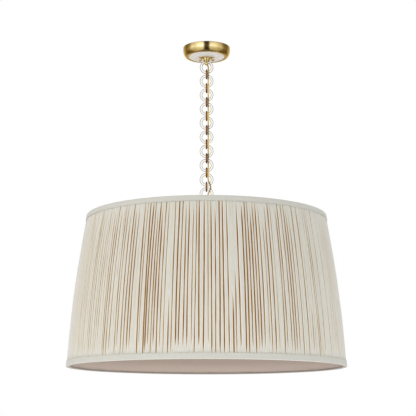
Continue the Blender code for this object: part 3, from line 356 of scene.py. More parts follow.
class Nodes:
    """Adds nodes to a tree and links them."""

    def __init__(self, tree: bpy.types.NodeTree) -> None:
        """Takes the tree."""
        self.tree = tree

    def node(self, kind: str, settings: Optional[dict] = None, **inputs: object) -> bpy.types.Node:
        """Adds a node.

        Args:
            kind: The node's type without its common start.
            settings: Properties of the node.
            inputs: Values or output sockets for its inputs, by name with underscores for spaces, or by
                a letter and the input's number.

        Returns:
            The node.
        """
        made = self.tree.nodes.new("ShaderNode" + kind)
        for key, value in (settings or {}).items():
            setattr(made, key, value)
        for key, value in inputs.items():
            name = int(key[1:]) if key[1:].isdigit() else key.replace("_", " ")
            self.feed(value, made.inputs[name])
        return made

    def feed(self, value: object, socket: Socket) -> None:
        """Links an output to a socket, or sets the socket's value."""
        if isinstance(value, Socket):
            self.tree.links.new(value, socket)
        else:
            socket.default_value = (*value, 1.0) if socket.type == "RGBA" else value

    def maths(self, operation: str, *values: object) -> Socket:
        """The result of a sum on numbers or sockets."""
        inputs = {f"i{index}": value for index, value in enumerate(values)}
        return self.node("Math", {"operation": operation}, **inputs).outputs[0]

    def place(self, scale: Triple = (1, 1, 1), kind: str = "Object") -> Socket:
        """Scaled coordinates, of the object or of its UV map."""
        coordinates = self.node("TexCoord").outputs[kind]
        return self.node("Mapping", Vector=coordinates, Scale=scale).outputs["Vector"]

    def noise(self, vector: Socket, scale: float, detail: float = 3.0) -> Socket:
        """An even noise from 0 to 1."""
        return self.node("TexNoise", Vector=vector, Scale=scale, Detail=detail).outputs["Fac"]

    def blend(self, share: object, first: object, second: object, way: str = "MIX") -> Socket:
        """A colour between two others, or mixed of them in another way."""
        settings = {"data_type": "RGBA", "blend_type": way}
        return self.node("Mix", settings, i0=share, i6=first, i7=second).outputs[2]

    def span(self, value: object, start: float, end: float, *to: float) -> Socket:
        """Maps a value's span onto another, from 0 to 1 if none is given, and holds it there."""
        low, high = to or (0.0, 1.0)
        made = self.node("MapRange", Value=value, From_Min=start, From_Max=end, To_Min=low, To_Max=high)
        return made.outputs["Result"]

    def tones(self, share: Socket, stops: Tones) -> Socket:
        """A grey that changes along one axis of a direction, and is warmer where it is dim.

        Args:
            share: The direction's share along the axis, from -1 to 1.
            stops: Pairs of that share and the grey there.

        Returns:
            The grey.
        """
        made = self.node("ValToRGB", Fac=self.span(share, -1.0, 1.0))
        ramp = made.color_ramp
        ramp.interpolation = "EASE"
        ramp.elements[0].position, ramp.elements[1].position = 0.0, 1.0
        for place, _ in stops[1:-1]:
            ramp.elements.new((place + 1) / 2)
        for element, (_, grey) in zip(ramp.elements, stops):
            element.color = (grey, grey**DIM_GREEN_POWER, grey**DIM_BLUE_POWER, 1.0)
        return made.outputs["Color"]


class Recipe(Nodes):
    """Builds one material's nodes, with its constant values set on the shader itself."""

    def __init__(self, name: str, **values: object) -> None:
        """Starts a material.

        Args:
            name: The material's name.
            values: Constant inputs of the shader, with underscores for the spaces in their names.
        """
        self.material = bpy.data.materials.new(name)
        self.material.use_nodes = True
        super().__init__(self.material.node_tree)
        self.shader = self.tree.nodes["Principled BSDF"]
        for key, value in values.items():
            self.feed(value, self.shader.inputs[key.replace("_", " ")])
        self.material.diffuse_color = (*values["Base_Color"], 1.0)

    def bump(self, height: Socket, depth: float, strength: float = 1.0) -> None:
        """Relief of a real depth on the surface."""
        made = self.node("Bump", Height=height, Strength=strength, Distance=depth)
        self.paint("Normal", made.outputs["Normal"])

    def paint(self, socket: str, value: Socket) -> None:
        """Feeds a varying value to an input of the shader."""
        self.feed(value, self.shader.inputs[socket])

    def shades(self, share: Socket, finish: object) -> None:
        """Paints between a finish's colour and its shade."""
        self.paint("Base Color", self.blend(share, finish.colour, finish.shade))


@dataclass(frozen=True)
class TurnedBrass:
    """Satin brass, turned on a lathe about an upright axis, with fine tool lines and soft tarnish."""

    name: str
    colour: Colour = (0.84, 0.67, 0.32)
    tarnish: Colour = (0.74, 0.55, 0.22)
    roughness: float = 0.16
    line_pitch: float = 0.0006
    line_depth: float = 0.000010
    line_stretch: float = 0.02
    line_share: float = 0.12
    clouds: Pair = (26.0, 5.0)
    grime: Pair = (210.0, 3.0)
    dirt_span: Pair = (0.24, 0.46)
    worn_span: Pair = (0.3, 0.75)
    worn: Pair = (0.92, 1.15)

    def make(self) -> Material:
        """The material."""
        recipe = Recipe(self.name, Metallic=1.0, Base_Color=self.colour, Roughness=self.roughness)
        place = recipe.place()
        cloud, grime = recipe.noise(place, *self.clouds), recipe.noise(place, *self.grime)
        stretched = recipe.place((self.line_stretch, self.line_stretch, 1.0 / self.line_pitch))
        lines = recipe.noise(stretched, 1.0, 2.0)
        dirt = recipe.maths("MULTIPLY", cloud, grime)
        dirt = recipe.maths("ADD", dirt, recipe.maths("MULTIPLY", lines, self.line_share))
        share = recipe.span(dirt, *self.dirt_span)
        recipe.paint("Base Color", recipe.blend(share, self.colour, self.tarnish))
        polished, dulled = (self.roughness * share for share in self.worn)
        recipe.paint("Roughness", recipe.span(grime, *self.worn_span, polished, dulled))
        recipe.bump(lines, self.line_depth)
        return recipe.material


@dataclass(frozen=True)
class ClearGlass:
    """Clear cast glass, faintly warm, with the slow waves of a pressed ring."""

    name: str
    colour: Colour = (0.995, 0.99, 0.955)
    rim: Colour = (0.06, 0.053, 0.018)
    index: float = 1.50
    roughness: float = 0.015
    rim_span: Pair = (0.18, 0.25)
    waves: Pair = (85.0, 1.0)
    wave_depth: float = 0.00012

    def make(self) -> Material:
        """The material, painted darker where one looks along its wall: painted shade for the ring's dark
        outline.
        """
        values = {"Base_Color": self.colour, "Roughness": self.roughness, "IOR": self.index}
        recipe = Recipe(self.name, **values, Transmission_Weight=1.0)
        facing = recipe.node("LayerWeight", Blend=0.5).outputs["Facing"]
        # Where the wall turns away, the colour goes to the dark rim tint: painted shade outlining the ring.
        recipe.paint("Base Color", recipe.blend(recipe.span(facing, *self.rim_span), self.colour, self.rim))
        recipe.bump(recipe.noise(recipe.place(), *self.waves), self.wave_depth, 0.5)
        return recipe.material


@dataclass(frozen=True)
class FrostedSheet:
    """The pale satin disc in the canopy, with a fine even frosting."""

    name: str
    colour: Colour = (0.94, 0.935, 0.92)
    shade: Colour = (0.88, 0.87, 0.85)
    roughness: float = 0.42
    index: float = 1.49
    coat: float = 0.15
    clouds: Pair = (60.0, 4.0)
    cloud_span: Pair = (0.4, 0.7)
    grain: Pair = (2600.0, 2.0)
    grain_depth: float = 0.00002

    def make(self) -> Material:
        """The material."""
        values = {"Base_Color": self.colour, "Roughness": self.roughness, "IOR": self.index}
        recipe = Recipe(self.name, **values, Coat_Weight=self.coat)
        place = recipe.place()
        recipe.shades(recipe.span(recipe.noise(place, *self.clouds), *self.cloud_span), self)
        recipe.bump(recipe.noise(place, *self.grain), self.grain_depth)
        return recipe.material


@dataclass(frozen=True)
class SpunCloth:
    """Plain-woven cloth with threads both ways, from a UV map in metres, and slubs along its length."""

    name: str
    colour: Colour
    shade: Colour
    pitch: float = 0.0007
    depth: float = 0.00012
    sheen: float = 0.25
    roughness: float = 0.85
    sheen_roughness: float = 0.45
    index: float = 1.4
    relief: float = 0.7
    wobble: Pair = (55.0, 2.0)
    wobble_shares: Pair = (0.8, 0.6)
    slubs: Triple = (900.0, 45.0, 1.0)
    between: Quad = (0.0, 0.7, 1.0, 0.25)
    uneven: Quad = (0.3, 0.7, 0.4, 1.0)

    def weave(self) -> tuple[Recipe, Socket]:
        """The cloth with its threads and slubs in relief, and the share of painted shade between the threads.
        """
        recipe = Recipe(
            self.name, Base_Color=self.colour, Roughness=self.roughness, Sheen_Weight=self.sheen,
            Sheen_Roughness=self.sheen_roughness, IOR=self.index,
        )
        cloth = recipe.place(kind="UV")
        wobble = recipe.noise(cloth, *self.wobble)
        split = recipe.node("SeparateXYZ", Vector=cloth)
        waves = []
        for axis, share in zip("XY", self.wobble_shares):
            stray = recipe.maths("MULTIPLY", wobble, self.pitch * share)
            along = recipe.maths("ADD", split.outputs[axis], stray)
            waves.append(recipe.maths("SINE", recipe.maths("MULTIPLY", along, math.pi / self.pitch)))
        warp, weft = (recipe.maths("ABSOLUTE", wave) for wave in waves)
        over = recipe.maths("GREATER_THAN", recipe.maths("MULTIPLY", *waves), 0.0)
        threads = recipe.node("Mix", {"data_type": "FLOAT"}, i0=over, i2=warp, i3=weft).outputs[0]
        slubs = recipe.noise(recipe.place(self.slubs, "UV"), 1.0)
        recipe.bump(recipe.maths("ADD", threads, slubs), self.depth, self.relief)
        # The darker tone between the threads is painted shade in the weave's grooves; the slubs make it
        # uneven.
        between = recipe.span(threads, *self.between)
        return recipe, recipe.maths("MULTIPLY", between, recipe.span(slubs, *self.uneven))

    def make(self) -> Material:
        """The material."""
        recipe, share = self.weave()
        recipe.shades(share, self)
        return recipe.material


@dataclass(frozen=True)
class PleatedSilk(SpunCloth):
    """The cover's cloth: golden in the parted pleats, partly the cloth behind, partly painted shade."""

    # gap and edge colour the parted grooves, partly the cloth behind and partly painted shade; crest is a
    # painted highlight.
    gap: Colour = (0.41, 0.20, 0.004)
    edge: Colour = (0.57, 0.43, 0.15)
    crest: Colour = (0.82, 0.80, 0.755)
    sheen_roughness: float = 0.4
    relief: float = 0.6
    between: Quad = (0.0, 0.7, 1.0, 0.3)
    uneven: Quad = (0.3, 0.7, 0.3, 1.0)
    crease_shade: Triple = (310.0, 3.5, 1.0)
    crease_shade_span: Pair = (0.46, 0.72)
    crest_span: Pair = (0.012, 0.06)
    edge_span: Pair = (0.15, 0.5)
    gap_span: Pair = (0.35, 0.95)

    def make(self) -> Material:
        """The material."""
        recipe, share = self.weave()
        depth = recipe.node("Attribute", {"attribute_name": "gap"}).outputs["Fac"]
        # Faint vertical streaks of painted shade stand in for fine creases that the mesh does not have.
        crease_shade = recipe.noise(recipe.place(self.crease_shade, "UV"), 1.0)
        share = recipe.maths("MAXIMUM", share, recipe.span(crease_shade, *self.crease_shade_span))
        plain = recipe.blend(share, self.colour, self.shade)
        # The crests beside each groove get a painted highlight.
        lit = recipe.blend(recipe.span(depth, *self.crest_span), plain, self.crest)
        # The groove's walls are painted a deeper gold: partly the cloth behind, partly painted shade.
        shaded_turned_in = recipe.blend(recipe.span(depth, *self.edge_span), lit, self.edge)
        # The groove's floor is painted darkest: partly the tone of the cloth behind, partly painted shade.
        recipe.paint("Base Color", recipe.blend(recipe.span(depth, *self.gap_span), shaded_turned_in, self.gap))
        return recipe.material


@dataclass(frozen=True)
class BraidedRayon:
    """The cord's cover: two sets of shiny gold strands that cross, with painted shade in the line between
    them.
    """

    name: str
    colour: Colour = (0.80, 0.54, 0.09)
    groove_shade: Colour = (0.46, 0.25, 0.025)
    fibre_pitch: float = 0.00016

    def make(self) -> Material:
        """The material."""
        recipe = Recipe(
            self.name, Base_Color=self.colour, Roughness=0.42, Sheen_Weight=0.5, Sheen_Roughness=0.35,
            Specular_IOR_Level=0.7,
        )
        groove = recipe.node("Attribute", {"attribute_name": "groove"}).outputs["Fac"]
        count = 1.0 / self.fibre_pitch
        fibres = recipe.noise(recipe.place((count, count, 1.0), "UV"), 1.0, 2.0)
        # The grooves between the strands are painted darker: painted shade.
        recipe.paint("Base Color", recipe.blend(recipe.span(groove, 0.45, 1.0), self.colour, self.groove_shade))
        recipe.bump(fibres, 0.00004, 0.6)
        return recipe.material


@dataclass(frozen=True)
class CoatedMetal:
    """Metal under paint, powder or zinc, with small pores and rubbed places."""

    name: str
    colour: Colour
    shade: Colour
    metallic: float = 0.0
    roughness: float = 0.5
    grain: float = 900.0
    depth: float = 0.00003

    def make(self) -> Material:
        """The material."""
        recipe = Recipe(self.name, Base_Color=self.colour, Roughness=self.roughness, Metallic=self.metallic)
        place = recipe.place()
        patches = recipe.span(recipe.noise(place, 95.0, 4.0), 0.4, 0.72)
        recipe.shades(patches, self)
        rubbed = min(1.0, self.roughness * 1.35)
        recipe.paint("Roughness", recipe.span(patches, 0.0, 1.0, self.roughness, rubbed))
        recipe.bump(recipe.noise(place, self.grain, 3.0), self.depth, 0.5)
        return recipe.material


@dataclass(frozen=True)
class MouldedPlastic:
    """Moulded plastic or phenolic, with a faint flow and a fine tool grain."""

    name: str
    colour: Colour
    shade: Colour
    roughness: float = 0.4

    def make(self) -> Material:
        """The material."""
        recipe = Recipe(self.name, Base_Color=self.colour, Roughness=self.roughness, IOR=1.5)
        place = recipe.place()
        flow = recipe.noise(recipe.place((30, 30, 120)), 1.0, 4.0)
        recipe.shades(recipe.span(flow, 0.35, 0.7), self)
        recipe.bump(recipe.noise(place, 1500.0, 2.0), 0.00002, 0.5)
        return recipe.material


@dataclass(frozen=True)
class FrostedBulb:
    """Etched bulb glass that glows a little through its wall."""

    name: str
    colour: Colour = (0.86, 0.85, 0.82)
    shade: Colour = (0.78, 0.76, 0.71)

    def make(self) -> Material:
        """The material."""
        recipe = Recipe(
            self.name, Base_Color=self.colour, Roughness=0.3, IOR=1.5, Subsurface_Weight=0.3,
            Subsurface_Scale=0.01,
        )
        place = recipe.place()
        recipe.shades(recipe.span(recipe.noise(place, 45.0), 0.4, 0.7), self)
        recipe.bump(recipe.noise(place, 1800.0, 2.0), 0.00001, 0.5)
        return recipe.material


# Canopy -----------------------------------------------------------------------------------------------


@dataclass
class TurnedLoop:
    """A turned brass loop: a collar, a bell below it, and an eye that follows its ring's bar."""

    name: str
    ring_z: float
    neck_length: float
    upside_down: bool
    body: Body
    material: Material
    ring_centre_radius: float = 0.01565
    ring_bar_radius: float = 0.0034
    bell_end: float = 0.00685
    bell_height: float = 0.0183
    bell_top_radius: float = 0.0098
    bell_end_radius: float = 0.0050
    bell_end_round: float = 0.0016
    collar_radius: float = 0.0125
    collar_height: float = 0.0045
    collar_round: float = 0.0013
    neck_radius: float = 0.0050
    eye_play: float = 0.0014
    bore_radius: float = 0.0031
    side_bore_radius: float = 0.0036
    side_bore_slope: float = math.radians(36)
    side_bore_start: float = 0.0275
    bore_overlap: float = 0.0021
    bore_overrun: float = 0.003
    bell_steps: int = 26
    segments: int = 72
    tool_sides: int = 28

    def profile(self) -> Profile:
        """The outside, from the bell's end up to the neck, measured from the ring's centre."""
        bell_top = self.bell_end + self.bell_height
        top = bell_top + self.collar_height
        side = []
        for step in range(self.bell_steps + 1):
            share = step / self.bell_steps
            flare = (1 - math.cos(math.pi * share)) / 2
            wider = self.bell_top_radius - self.bell_end_radius
            radius = self.bell_end_radius + wider * (share + flare) / 2
            rise = self.bell_end_round + (self.bell_height - self.bell_end_round) * share
            side.append((radius, self.bell_end + rise))
        rounding = self.bell_end_round
        tip_centre = (self.bell_end_radius - rounding, self.bell_end + rounding)
        tip = arc(tip_centre, (rounding, rounding), -90, 0, 5)
        edge = self.collar_round
        lower = arc((self.collar_radius - edge, bell_top + edge), (edge, edge), -90, 0, 6)
        upper = arc((self.collar_radius - edge, top - edge), (edge, edge), 0, 90, 6)
        neck = [(self.neck_radius, top), (self.neck_radius, top + self.neck_length)]
        return [(0, self.bell_end), *tip, *side[1:], *lower, *upper, *neck, (0, top + self.neck_length)]

    def build(self) -> Piece:
        """The loop in its place, riding on its body."""
        loop = placed(rows_mesh(self.name, turned(self.profile(), self.segments)))
        top = self.bell_end + self.bell_height + self.collar_height + self.neck_length
        start, sides = self.side_bore_start, self.tool_sides
        wide_bar = self.ring_bar_radius + self.eye_play
        eye_rows = ring_rows(self.ring_centre_radius, wide_bar, self.segments, sides)
        eye = rows_mesh("eye", eye_rows, looped=True)
        eye.transform(Matrix.Translation((0, 0, self.eye_play - SEAT_GAP)))
        side_end = start - self.collar_radius * math.tan(self.side_bore_slope)
        bore_path = [Vector((0, 0, start - self.bore_overlap)), Vector((0, 0, top + self.bore_overrun))]
        side_path = [Vector((0, 0, start)), Vector((0, self.collar_radius, side_end))]
        bore = rows_mesh("bore", swept(bore_path, self.bore_radius, sides), capped=True)
        side_bore = rows_mesh("side_bore", swept(side_path, self.side_bore_radius, sides), capped=True)
        cut(loop, [placed(tool) for tool in (eye, bore, side_bore)])
        turn = Matrix.Rotation(math.pi, 4, "Y") if self.upside_down else Matrix.Identity(4)
        loop.data.transform(Matrix.Translation((0, 0, self.ring_z)) @ turn)
        loop.data.materials.clear()
        loop.data.materials.append(self.material)
        return seat(loop, self.body, Slot.BRASS, self.name)


@dataclass
class Canopy:
    """The brass dish on the ceiling with its pale disc, cap nuts and what holds them inside."""

    frame: dict
    brass: Material
    radius: float = 0.0667
    height: float = 0.027
    wall: float = 0.0012
    skirt: float = 0.0085
    lip_radius: float = 0.0565
    disc_radius: float = 0.050
    disc_thickness: float = 0.004
    floor_thickness: float = 0.0015
    neck_radius: float = 0.0050
    stud_spacing: float = 0.035
    cap_flange_radius: float = 0.0050
    cap_flange: float = 0.0015
    cap_radius: float = 0.0040
    cap_height: float = 0.0115
    cap_dome: float = 0.0025
    cap_ease: float = 0.0004
    shell_ease: float = 0.0006
    disc_ease: float = 0.0008
    groove: tuple[Pair, ...] = ((0.0030, 0.0), (0.0034, 0.0003), (0.0040, 0.0003), (0.0044, 0.0))
    loop_ring_z: float = -0.05695
    loop_neck: float = 0.0144
    segments: int = 160

    def build_shell(self) -> None:
        """The spun dish, with a rolled upper edge and a recess for the disc."""
        floor = -self.height + self.disc_thickness + SEAT_GAP
        recess = self.disc_radius + SEAT_GAP
        hole = self.neck_radius + SEAT_GAP
        size = (self.radius - self.lip_radius, self.height - self.skirt)
        side = arc((self.lip_radius, -self.skirt), size, 0, -90, 22)
        inner = [(self.lip_radius, floor + self.floor_thickness), (self.radius - self.wall, -self.skirt)]
        outline = [
            (self.radius, 0),
            *side,
            (recess, -self.height),
            (recess, floor),
            (hole, floor),
            (hole, floor + self.floor_thickness),
            *inner,
            (self.radius - self.wall, 0),
        ]
        section = eased(outline, self.shell_ease, closed=True, steps=3)
        mesh = rows_mesh("canopy_dish", turned(section, self.segments), looped=True)
        seat(placed(mesh, self.brass), Body.CEILING, Slot.BRASS, "canopy_shell")

    def build_disc(self) -> None:
        """The pale disc, with an eased edge and a shallow groove near its rim."""
        hole = self.neck_radius + SEAT_GAP
        top, face = -self.height + self.disc_thickness, -self.height
        outline = [
            (hole, top),
            (self.disc_radius, top),
            (self.disc_radius, face),
            *[(self.disc_radius - inward, face + deep) for inward, deep in self.groove],
            (hole, face),
        ]
        section = eased(outline, self.disc_ease, closed=True)
        mesh = rows_mesh("pale_disc", turned(section, self.segments), looped=True)
        seat(placed(mesh, FrostedSheet("satin_disc").make()), Body.CEILING, Slot.DISC, "canopy_disc")

    def build_cap_nuts(self) -> None:
        """The two domed cap nuts with their flanges."""
        outline = [
            (0, 0),
            (self.cap_flange_radius, 0),
            (self.cap_flange_radius, -self.cap_flange),
            (self.cap_radius, -self.cap_flange),
            (self.cap_radius, self.cap_dome - self.cap_height),
        ]
        dome = arc((0, self.cap_dome - self.cap_height), (self.cap_radius, self.cap_dome), 0, -90, 9)
        rows = turned([*eased(outline, self.cap_ease), *dome[1:]], 40)
        for side, x in (("left", -self.stud_spacing / 2), ("right", self.stud_spacing / 2)):
            mesh = rows_mesh(f"domed_nut_{side}", rows)
            mesh.transform(Matrix.Translation((x, 0, -self.height - SEAT_GAP)))
            seat(placed(mesh, self.brass), Body.CEILING, Slot.BRASS, f"cap_nut_{side}")

    def build_loop(self) -> None:
        """The turned loop that the first ring hangs in."""
        place = (self.loop_ring_z, self.loop_neck)
        TurnedLoop("canopy_loop", *place, upside_down=False, body=Body.CEILING, material=self.brass).build()

    def dress_inside(self) -> None:
        """Finishes for what the dish hides: the crossbar, its fasteners, the leads and connectors."""
        zinc = CoatedMetal("zinc_plate", (0.58, 0.59, 0.58), (0.44, 0.45, 0.45), 1.0, 0.36).make()
        green = CoatedMetal("green_plate", (0.07, 0.30, 0.10), (0.05, 0.20, 0.07), 0.6, 0.38).make()
        black = MouldedPlastic("black_insulation", (0.025, 0.025, 0.025), (0.05, 0.05, 0.05), 0.45).make()
        green_cover = MouldedPlastic("green_insulation", (0.03, 0.22, 0.06), (0.02, 0.15, 0.04), 0.45).make()
        orange = MouldedPlastic("orange_connector", (0.70, 0.20, 0.03), (0.55, 0.14, 0.02), 0.38).make()
        studs = ["canopy_stud_left", "canopy_stud_right", "stud_nut_left", "stud_nut_right"]
        dress(self.frame, ["crossbar", *studs, "canopy_loop_nut"], zinc)
        dress(self.frame, ["ground_screw"], green)
        dress(self.frame, ["line_lead", "neutral_lead"], black)
        dress(self.frame, ["ground_lead"], green_cover)
        dress(self.frame, ["line_connector", "neutral_connector"], orange)

    def build(self) -> None:
        """Everything on the ceiling."""
        self.build_shell()
        self.build_disc()
        self.build_cap_nuts()
        self.build_loop()
        self.dress_inside()
        log.info("canopy: dish, disc, two cap nuts and loop")


# Chain and cord ---------------------------------------------------------------------------------------


@dataclass
class Chain:
    """Glass rings that face the front, each hung in the next brass link."""

    first_ring_z: float = -0.05695
    ring_count: int = 11
    ring_pitch: float = 0.0408
    ring_centre_radius: float = 0.01565
    ring_bar_radius: float = 0.0034
    link_width: float = 0.0046
    link_end_depth: float = 0.0060
    link_side_depth: float = 0.0040
    link_inner_width: float = 0.0088
    running_gap: float = 0.0004
    link_corner_power: float = 2.6
    link_steps: int = 22
    link_sides: int = 20
    ring_segments: int = 96
    ring_sides: int = 32

    def ring_z(self, index: int) -> float:
        """The height of a ring's centre, counted from 1 at the top."""
        return self.first_ring_z - (index - 1) * self.ring_pitch

    def link_rows(self) -> Rows:
        """Rows of a link in the YZ plane, measured from the upper ring's bar, deeper at its ends."""
        inner = self.link_inner_width / 2
        seat_z = self.ring_bar_radius + self.running_gap
        apart = self.ring_pitch - 2 * self.ring_centre_radius
        ends = ((seat_z - inner, 0.0), (-apart - seat_z + inner, math.pi))
        steps, sides, power = self.link_steps, self.link_sides, self.link_corner_power
        rows = []
        for centre_z, start in ends:
            for step in range(steps + 1):
                turn = math.pi * step / steps
                depth = self.link_side_depth + (self.link_end_depth - self.link_side_depth) * math.sin(turn)
                outward = Vector((0, math.cos(start + turn), math.sin(start + turn)))
                middle = Vector((0, 0, centre_z)) + outward * (inner + depth / 2)
                row = []
                for side in range(sides):
                    angle = FULL_TURN * side / sides
                    wide, deep = math.sin(angle), math.cos(angle)
                    full = (abs(wide) ** power + abs(deep) ** power) ** (1 / power)
                    across = Vector((self.link_width / 2 * wide / full, 0, 0))
                    row.append(middle + across + outward * (depth / 2 * deep / full))
                rows.append(row)
        return rows

    def build(self) -> None:
        """All rings and links on their own bodies."""
        glass = ClearGlass("clear_ring_glass").make()
        # The links take a darker copy of the brass, a painted shade for the dark reflections they show.
        metal = TurnedBrass("shaded_link_brass", (0.37, 0.155, 0.045), (0.20, 0.07, 0.018), 0.22).make()
        size = (self.ring_centre_radius, self.ring_bar_radius, self.ring_segments, self.ring_sides)
        for index in range(1, self.ring_count + 1):
            mesh = rows_mesh(f"clear_ring_{index:02d}", ring_rows(*size), looped=True)
            mesh.transform(Matrix.Translation((0, 0, self.ring_z(index))))
            seat(placed(mesh, glass), f"ring_{index:02d}", Slot.RING_GLASS, f"glass_ring_{index:02d}")
            if index == self.ring_count:
                continue
            mesh = rows_mesh(f"oval_link_{index:02d}", self.link_rows(), looped=True)
            mesh.transform(Matrix.Translation((0, 0, self.ring_z(index) - self.ring_centre_radius)))
            seat(placed(mesh, metal), f"link_{index:02d}", Slot.BRASS, f"link_{index:02d}")
        log.info("chain: %d glass rings and %d links", self.ring_count, self.ring_count - 1)


@dataclass
class WovenCord:
    """The cloth-covered cord, woven down the chain, in one length for each joint."""

    chain: Chain
    radius: float = 0.0021
    side: float = 0.0047
    swing: float = 0.0076
    loose_junction: int = 9
    loose_side: float = 0.0117
    loose_swing: float = 0.0115
    top: float = 0.0085
    behind: float = 0.0128
    side_bore_start: float = 0.0275
    side_bore_slope: float = math.radians(36)
    canopy_floor_z: float = -0.0227
    stem_top_z: float = -0.5034
    cluster_top_z: float = -0.6076
    collar_radius: float = 0.0125
    spacing: float = 0.0006
    sides: int = 16
    strand_pairs: int = 6
    strand_pitch: float = 0.0150
    strand_relief: float = 0.00016

    def route(self) -> list[Vector]:
        """Points on the cord's centreline, as in the model: loop, weave, lower loop and stem."""
        chain = self.chain
        first, last = chain.ring_z(1), chain.ring_z(chain.ring_count)
        clear = self.collar_radius / 2
        slope = clear * math.tan(self.side_bore_slope)
        hole_radius = chain.ring_centre_radius - chain.ring_bar_radius
        knots = [
            (0, 0, -self.top),
            (0, 0, self.canopy_floor_z),
            (0, 0, first + self.side_bore_start + self.radius / 2),
            (0, clear, first + self.side_bore_start - slope),
            (0, self.behind, first + chain.ring_centre_radius),
            (self.side, self.swing + self.radius, first + chain.ring_bar_radius),
        ]
        for junction in range(1, chain.ring_count):
            loose = junction == self.loose_junction
            swing = self.loose_swing if loose else self.swing
            z = chain.ring_z(junction) - chain.ring_pitch / 2
            knots.append((self.loose_side if loose else self.side, swing if junction % 2 else -swing, z))
            knots.append((self.side, 0, z - chain.ring_pitch / 2))
        knots += [
            (self.side / 2, self.swing + self.radius, last - hole_radius / 2),
            (0, self.behind, last - chain.ring_centre_radius),
            (0, clear, last - self.side_bore_start + slope),
            (0, 0, last - self.side_bore_start - self.radius / 2),
            (0, 0, self.stem_top_z),
        ]
        path = smooth_path(knots, self.spacing)
        steps = round((self.stem_top_z - self.cluster_top_z) / self.spacing)
        for step in range(1, steps + 1):
            z = self.stem_top_z + (self.cluster_top_z - self.stem_top_z) * step / steps
            path.append(Vector((0, 0, z)))
        return path

    def groove(self, turn: float, along: float) -> float:
        """How deep the braid's surface lies at a turn round the cord and a way along it, from 0 to 1."""
        phase = FULL_TURN * along / self.strand_pitch
        left = math.sin(self.strand_pairs * (turn + phase) / 2)
        right = math.sin(self.strand_pairs * (turn - phase) / 2)
        over_left = left * right > 0
        ridge = abs(left) if over_left else abs(right)
        return 1 - math.sqrt(ridge)

    def build(self) -> None:
        """The cord's lengths, one for each pair of bodies that a joint joins; none rides on a body."""
        finish = BraidedRayon("gold_braid").make()
        path = self.route()
        frames = path_frames(path)
        along = [0.0]
        for before, place in zip(path, path[1:]):
            along.append(along[-1] + (place - before).length)
        cuts = self.cuts()
        piece = 0
        start = 0
        for index, place in enumerate(path):
            last = index == len(path) - 1
            if not last and (piece >= len(cuts) or place.z > cuts[piece]):
                continue
            self.build_length(piece, path, frames, along, (start, index), self.bodies(piece), finish)
            start = index
            piece += 1
        log.info("cord: %.3f m in %d lengths", along[-1], piece)

    def cuts(self) -> list[float]:
        """Heights where one length ends: each ring's centre and each junction between rings."""
        chain = self.chain
        heights = []
        for index in range(1, chain.ring_count + 1):
            heights.append(chain.ring_z(index))
            if index < chain.ring_count:
                heights.append(chain.ring_z(index) - chain.ring_pitch / 2)
        return heights

    def bodies(self, piece: int) -> tuple[str, str]:
        """The bodies above and below a length, counted from 0 at the top."""
        names = [Body.CEILING.value]
        for index in range(1, self.chain.ring_count + 1):
            names.append(f"ring_{index:02d}")
            if index < self.chain.ring_count:
                names.append(f"link_{index:02d}")
        names.append(Body.FIXTURE.value)
        return names[piece], names[piece + 1]

    def build_length(
        self,
        number: int,
        path: list[Vector],
        frames: list[tuple[Vector, Vector]],
        along: list[float],
        span: tuple[int, int],
        bodies: tuple[str, str],
        finish: Material,
    ) -> None:
        """One length of the cord, with its strands raised on it.

        Args:
            number: Its place from the top.
            path: The whole centreline.
            frames: Cross directions at each point.
            along: The way along the cord at each point.
            span: First and last point of this length.
            bodies: The bodies above and below.
            finish: The braid's material.
        """
        rows, depths, lengths = [], [], []
        for index in range(span[0], span[1] + 1):
            side, other = frames[index]
            row = []
            for step in range(self.sides):
                turn = FULL_TURN * step / self.sides
                depth = self.groove(turn, along[index])
                reach = self.radius - self.strand_relief * depth
                row.append(path[index] + (side * math.cos(turn) + other * math.sin(turn)) * reach)
                depths.append(depth)
            rows.append(row)
            lengths.append(along[index])
        mesh = rows_mesh(f"gold_cord_{number:02d}", rows, capped=True)
        groove = mesh.attributes.new("groove", "FLOAT", "POINT")
        groove.data.foreach_set("value", depths)
        self.map_length(mesh, lengths)
        obj = placed(mesh, finish)
        if bodies[1] == Body.FIXTURE.value:
            last_ring_z = self.chain.ring_z(self.chain.ring_count)
        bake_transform(obj)
        if number == 0:
            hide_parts("power_cord")

    def map_length(self, mesh: Mesh, lengths: list[float]) -> None:
        """Lays a UV map in metres round and along a length."""
        layer = mesh.uv_layers.new(name="way")
        round_it = FULL_TURN * self.radius
        for polygon in mesh.polygons:
            columns = [mesh.loops[loop].vertex_index % self.sides for loop in polygon.loop_indices]
            wraps = max(columns) == self.sides - 1 and min(columns) == 0
            for loop, column in zip(polygon.loop_indices, columns):
                row = mesh.loops[loop].vertex_index // self.sides
                share = (column + self.sides if wraps and column == 0 else column) / self.sides
                layer.data[loop].uv = (share * round_it, lengths[row])


# Shade ------------------------------------------------------------------------------------------------


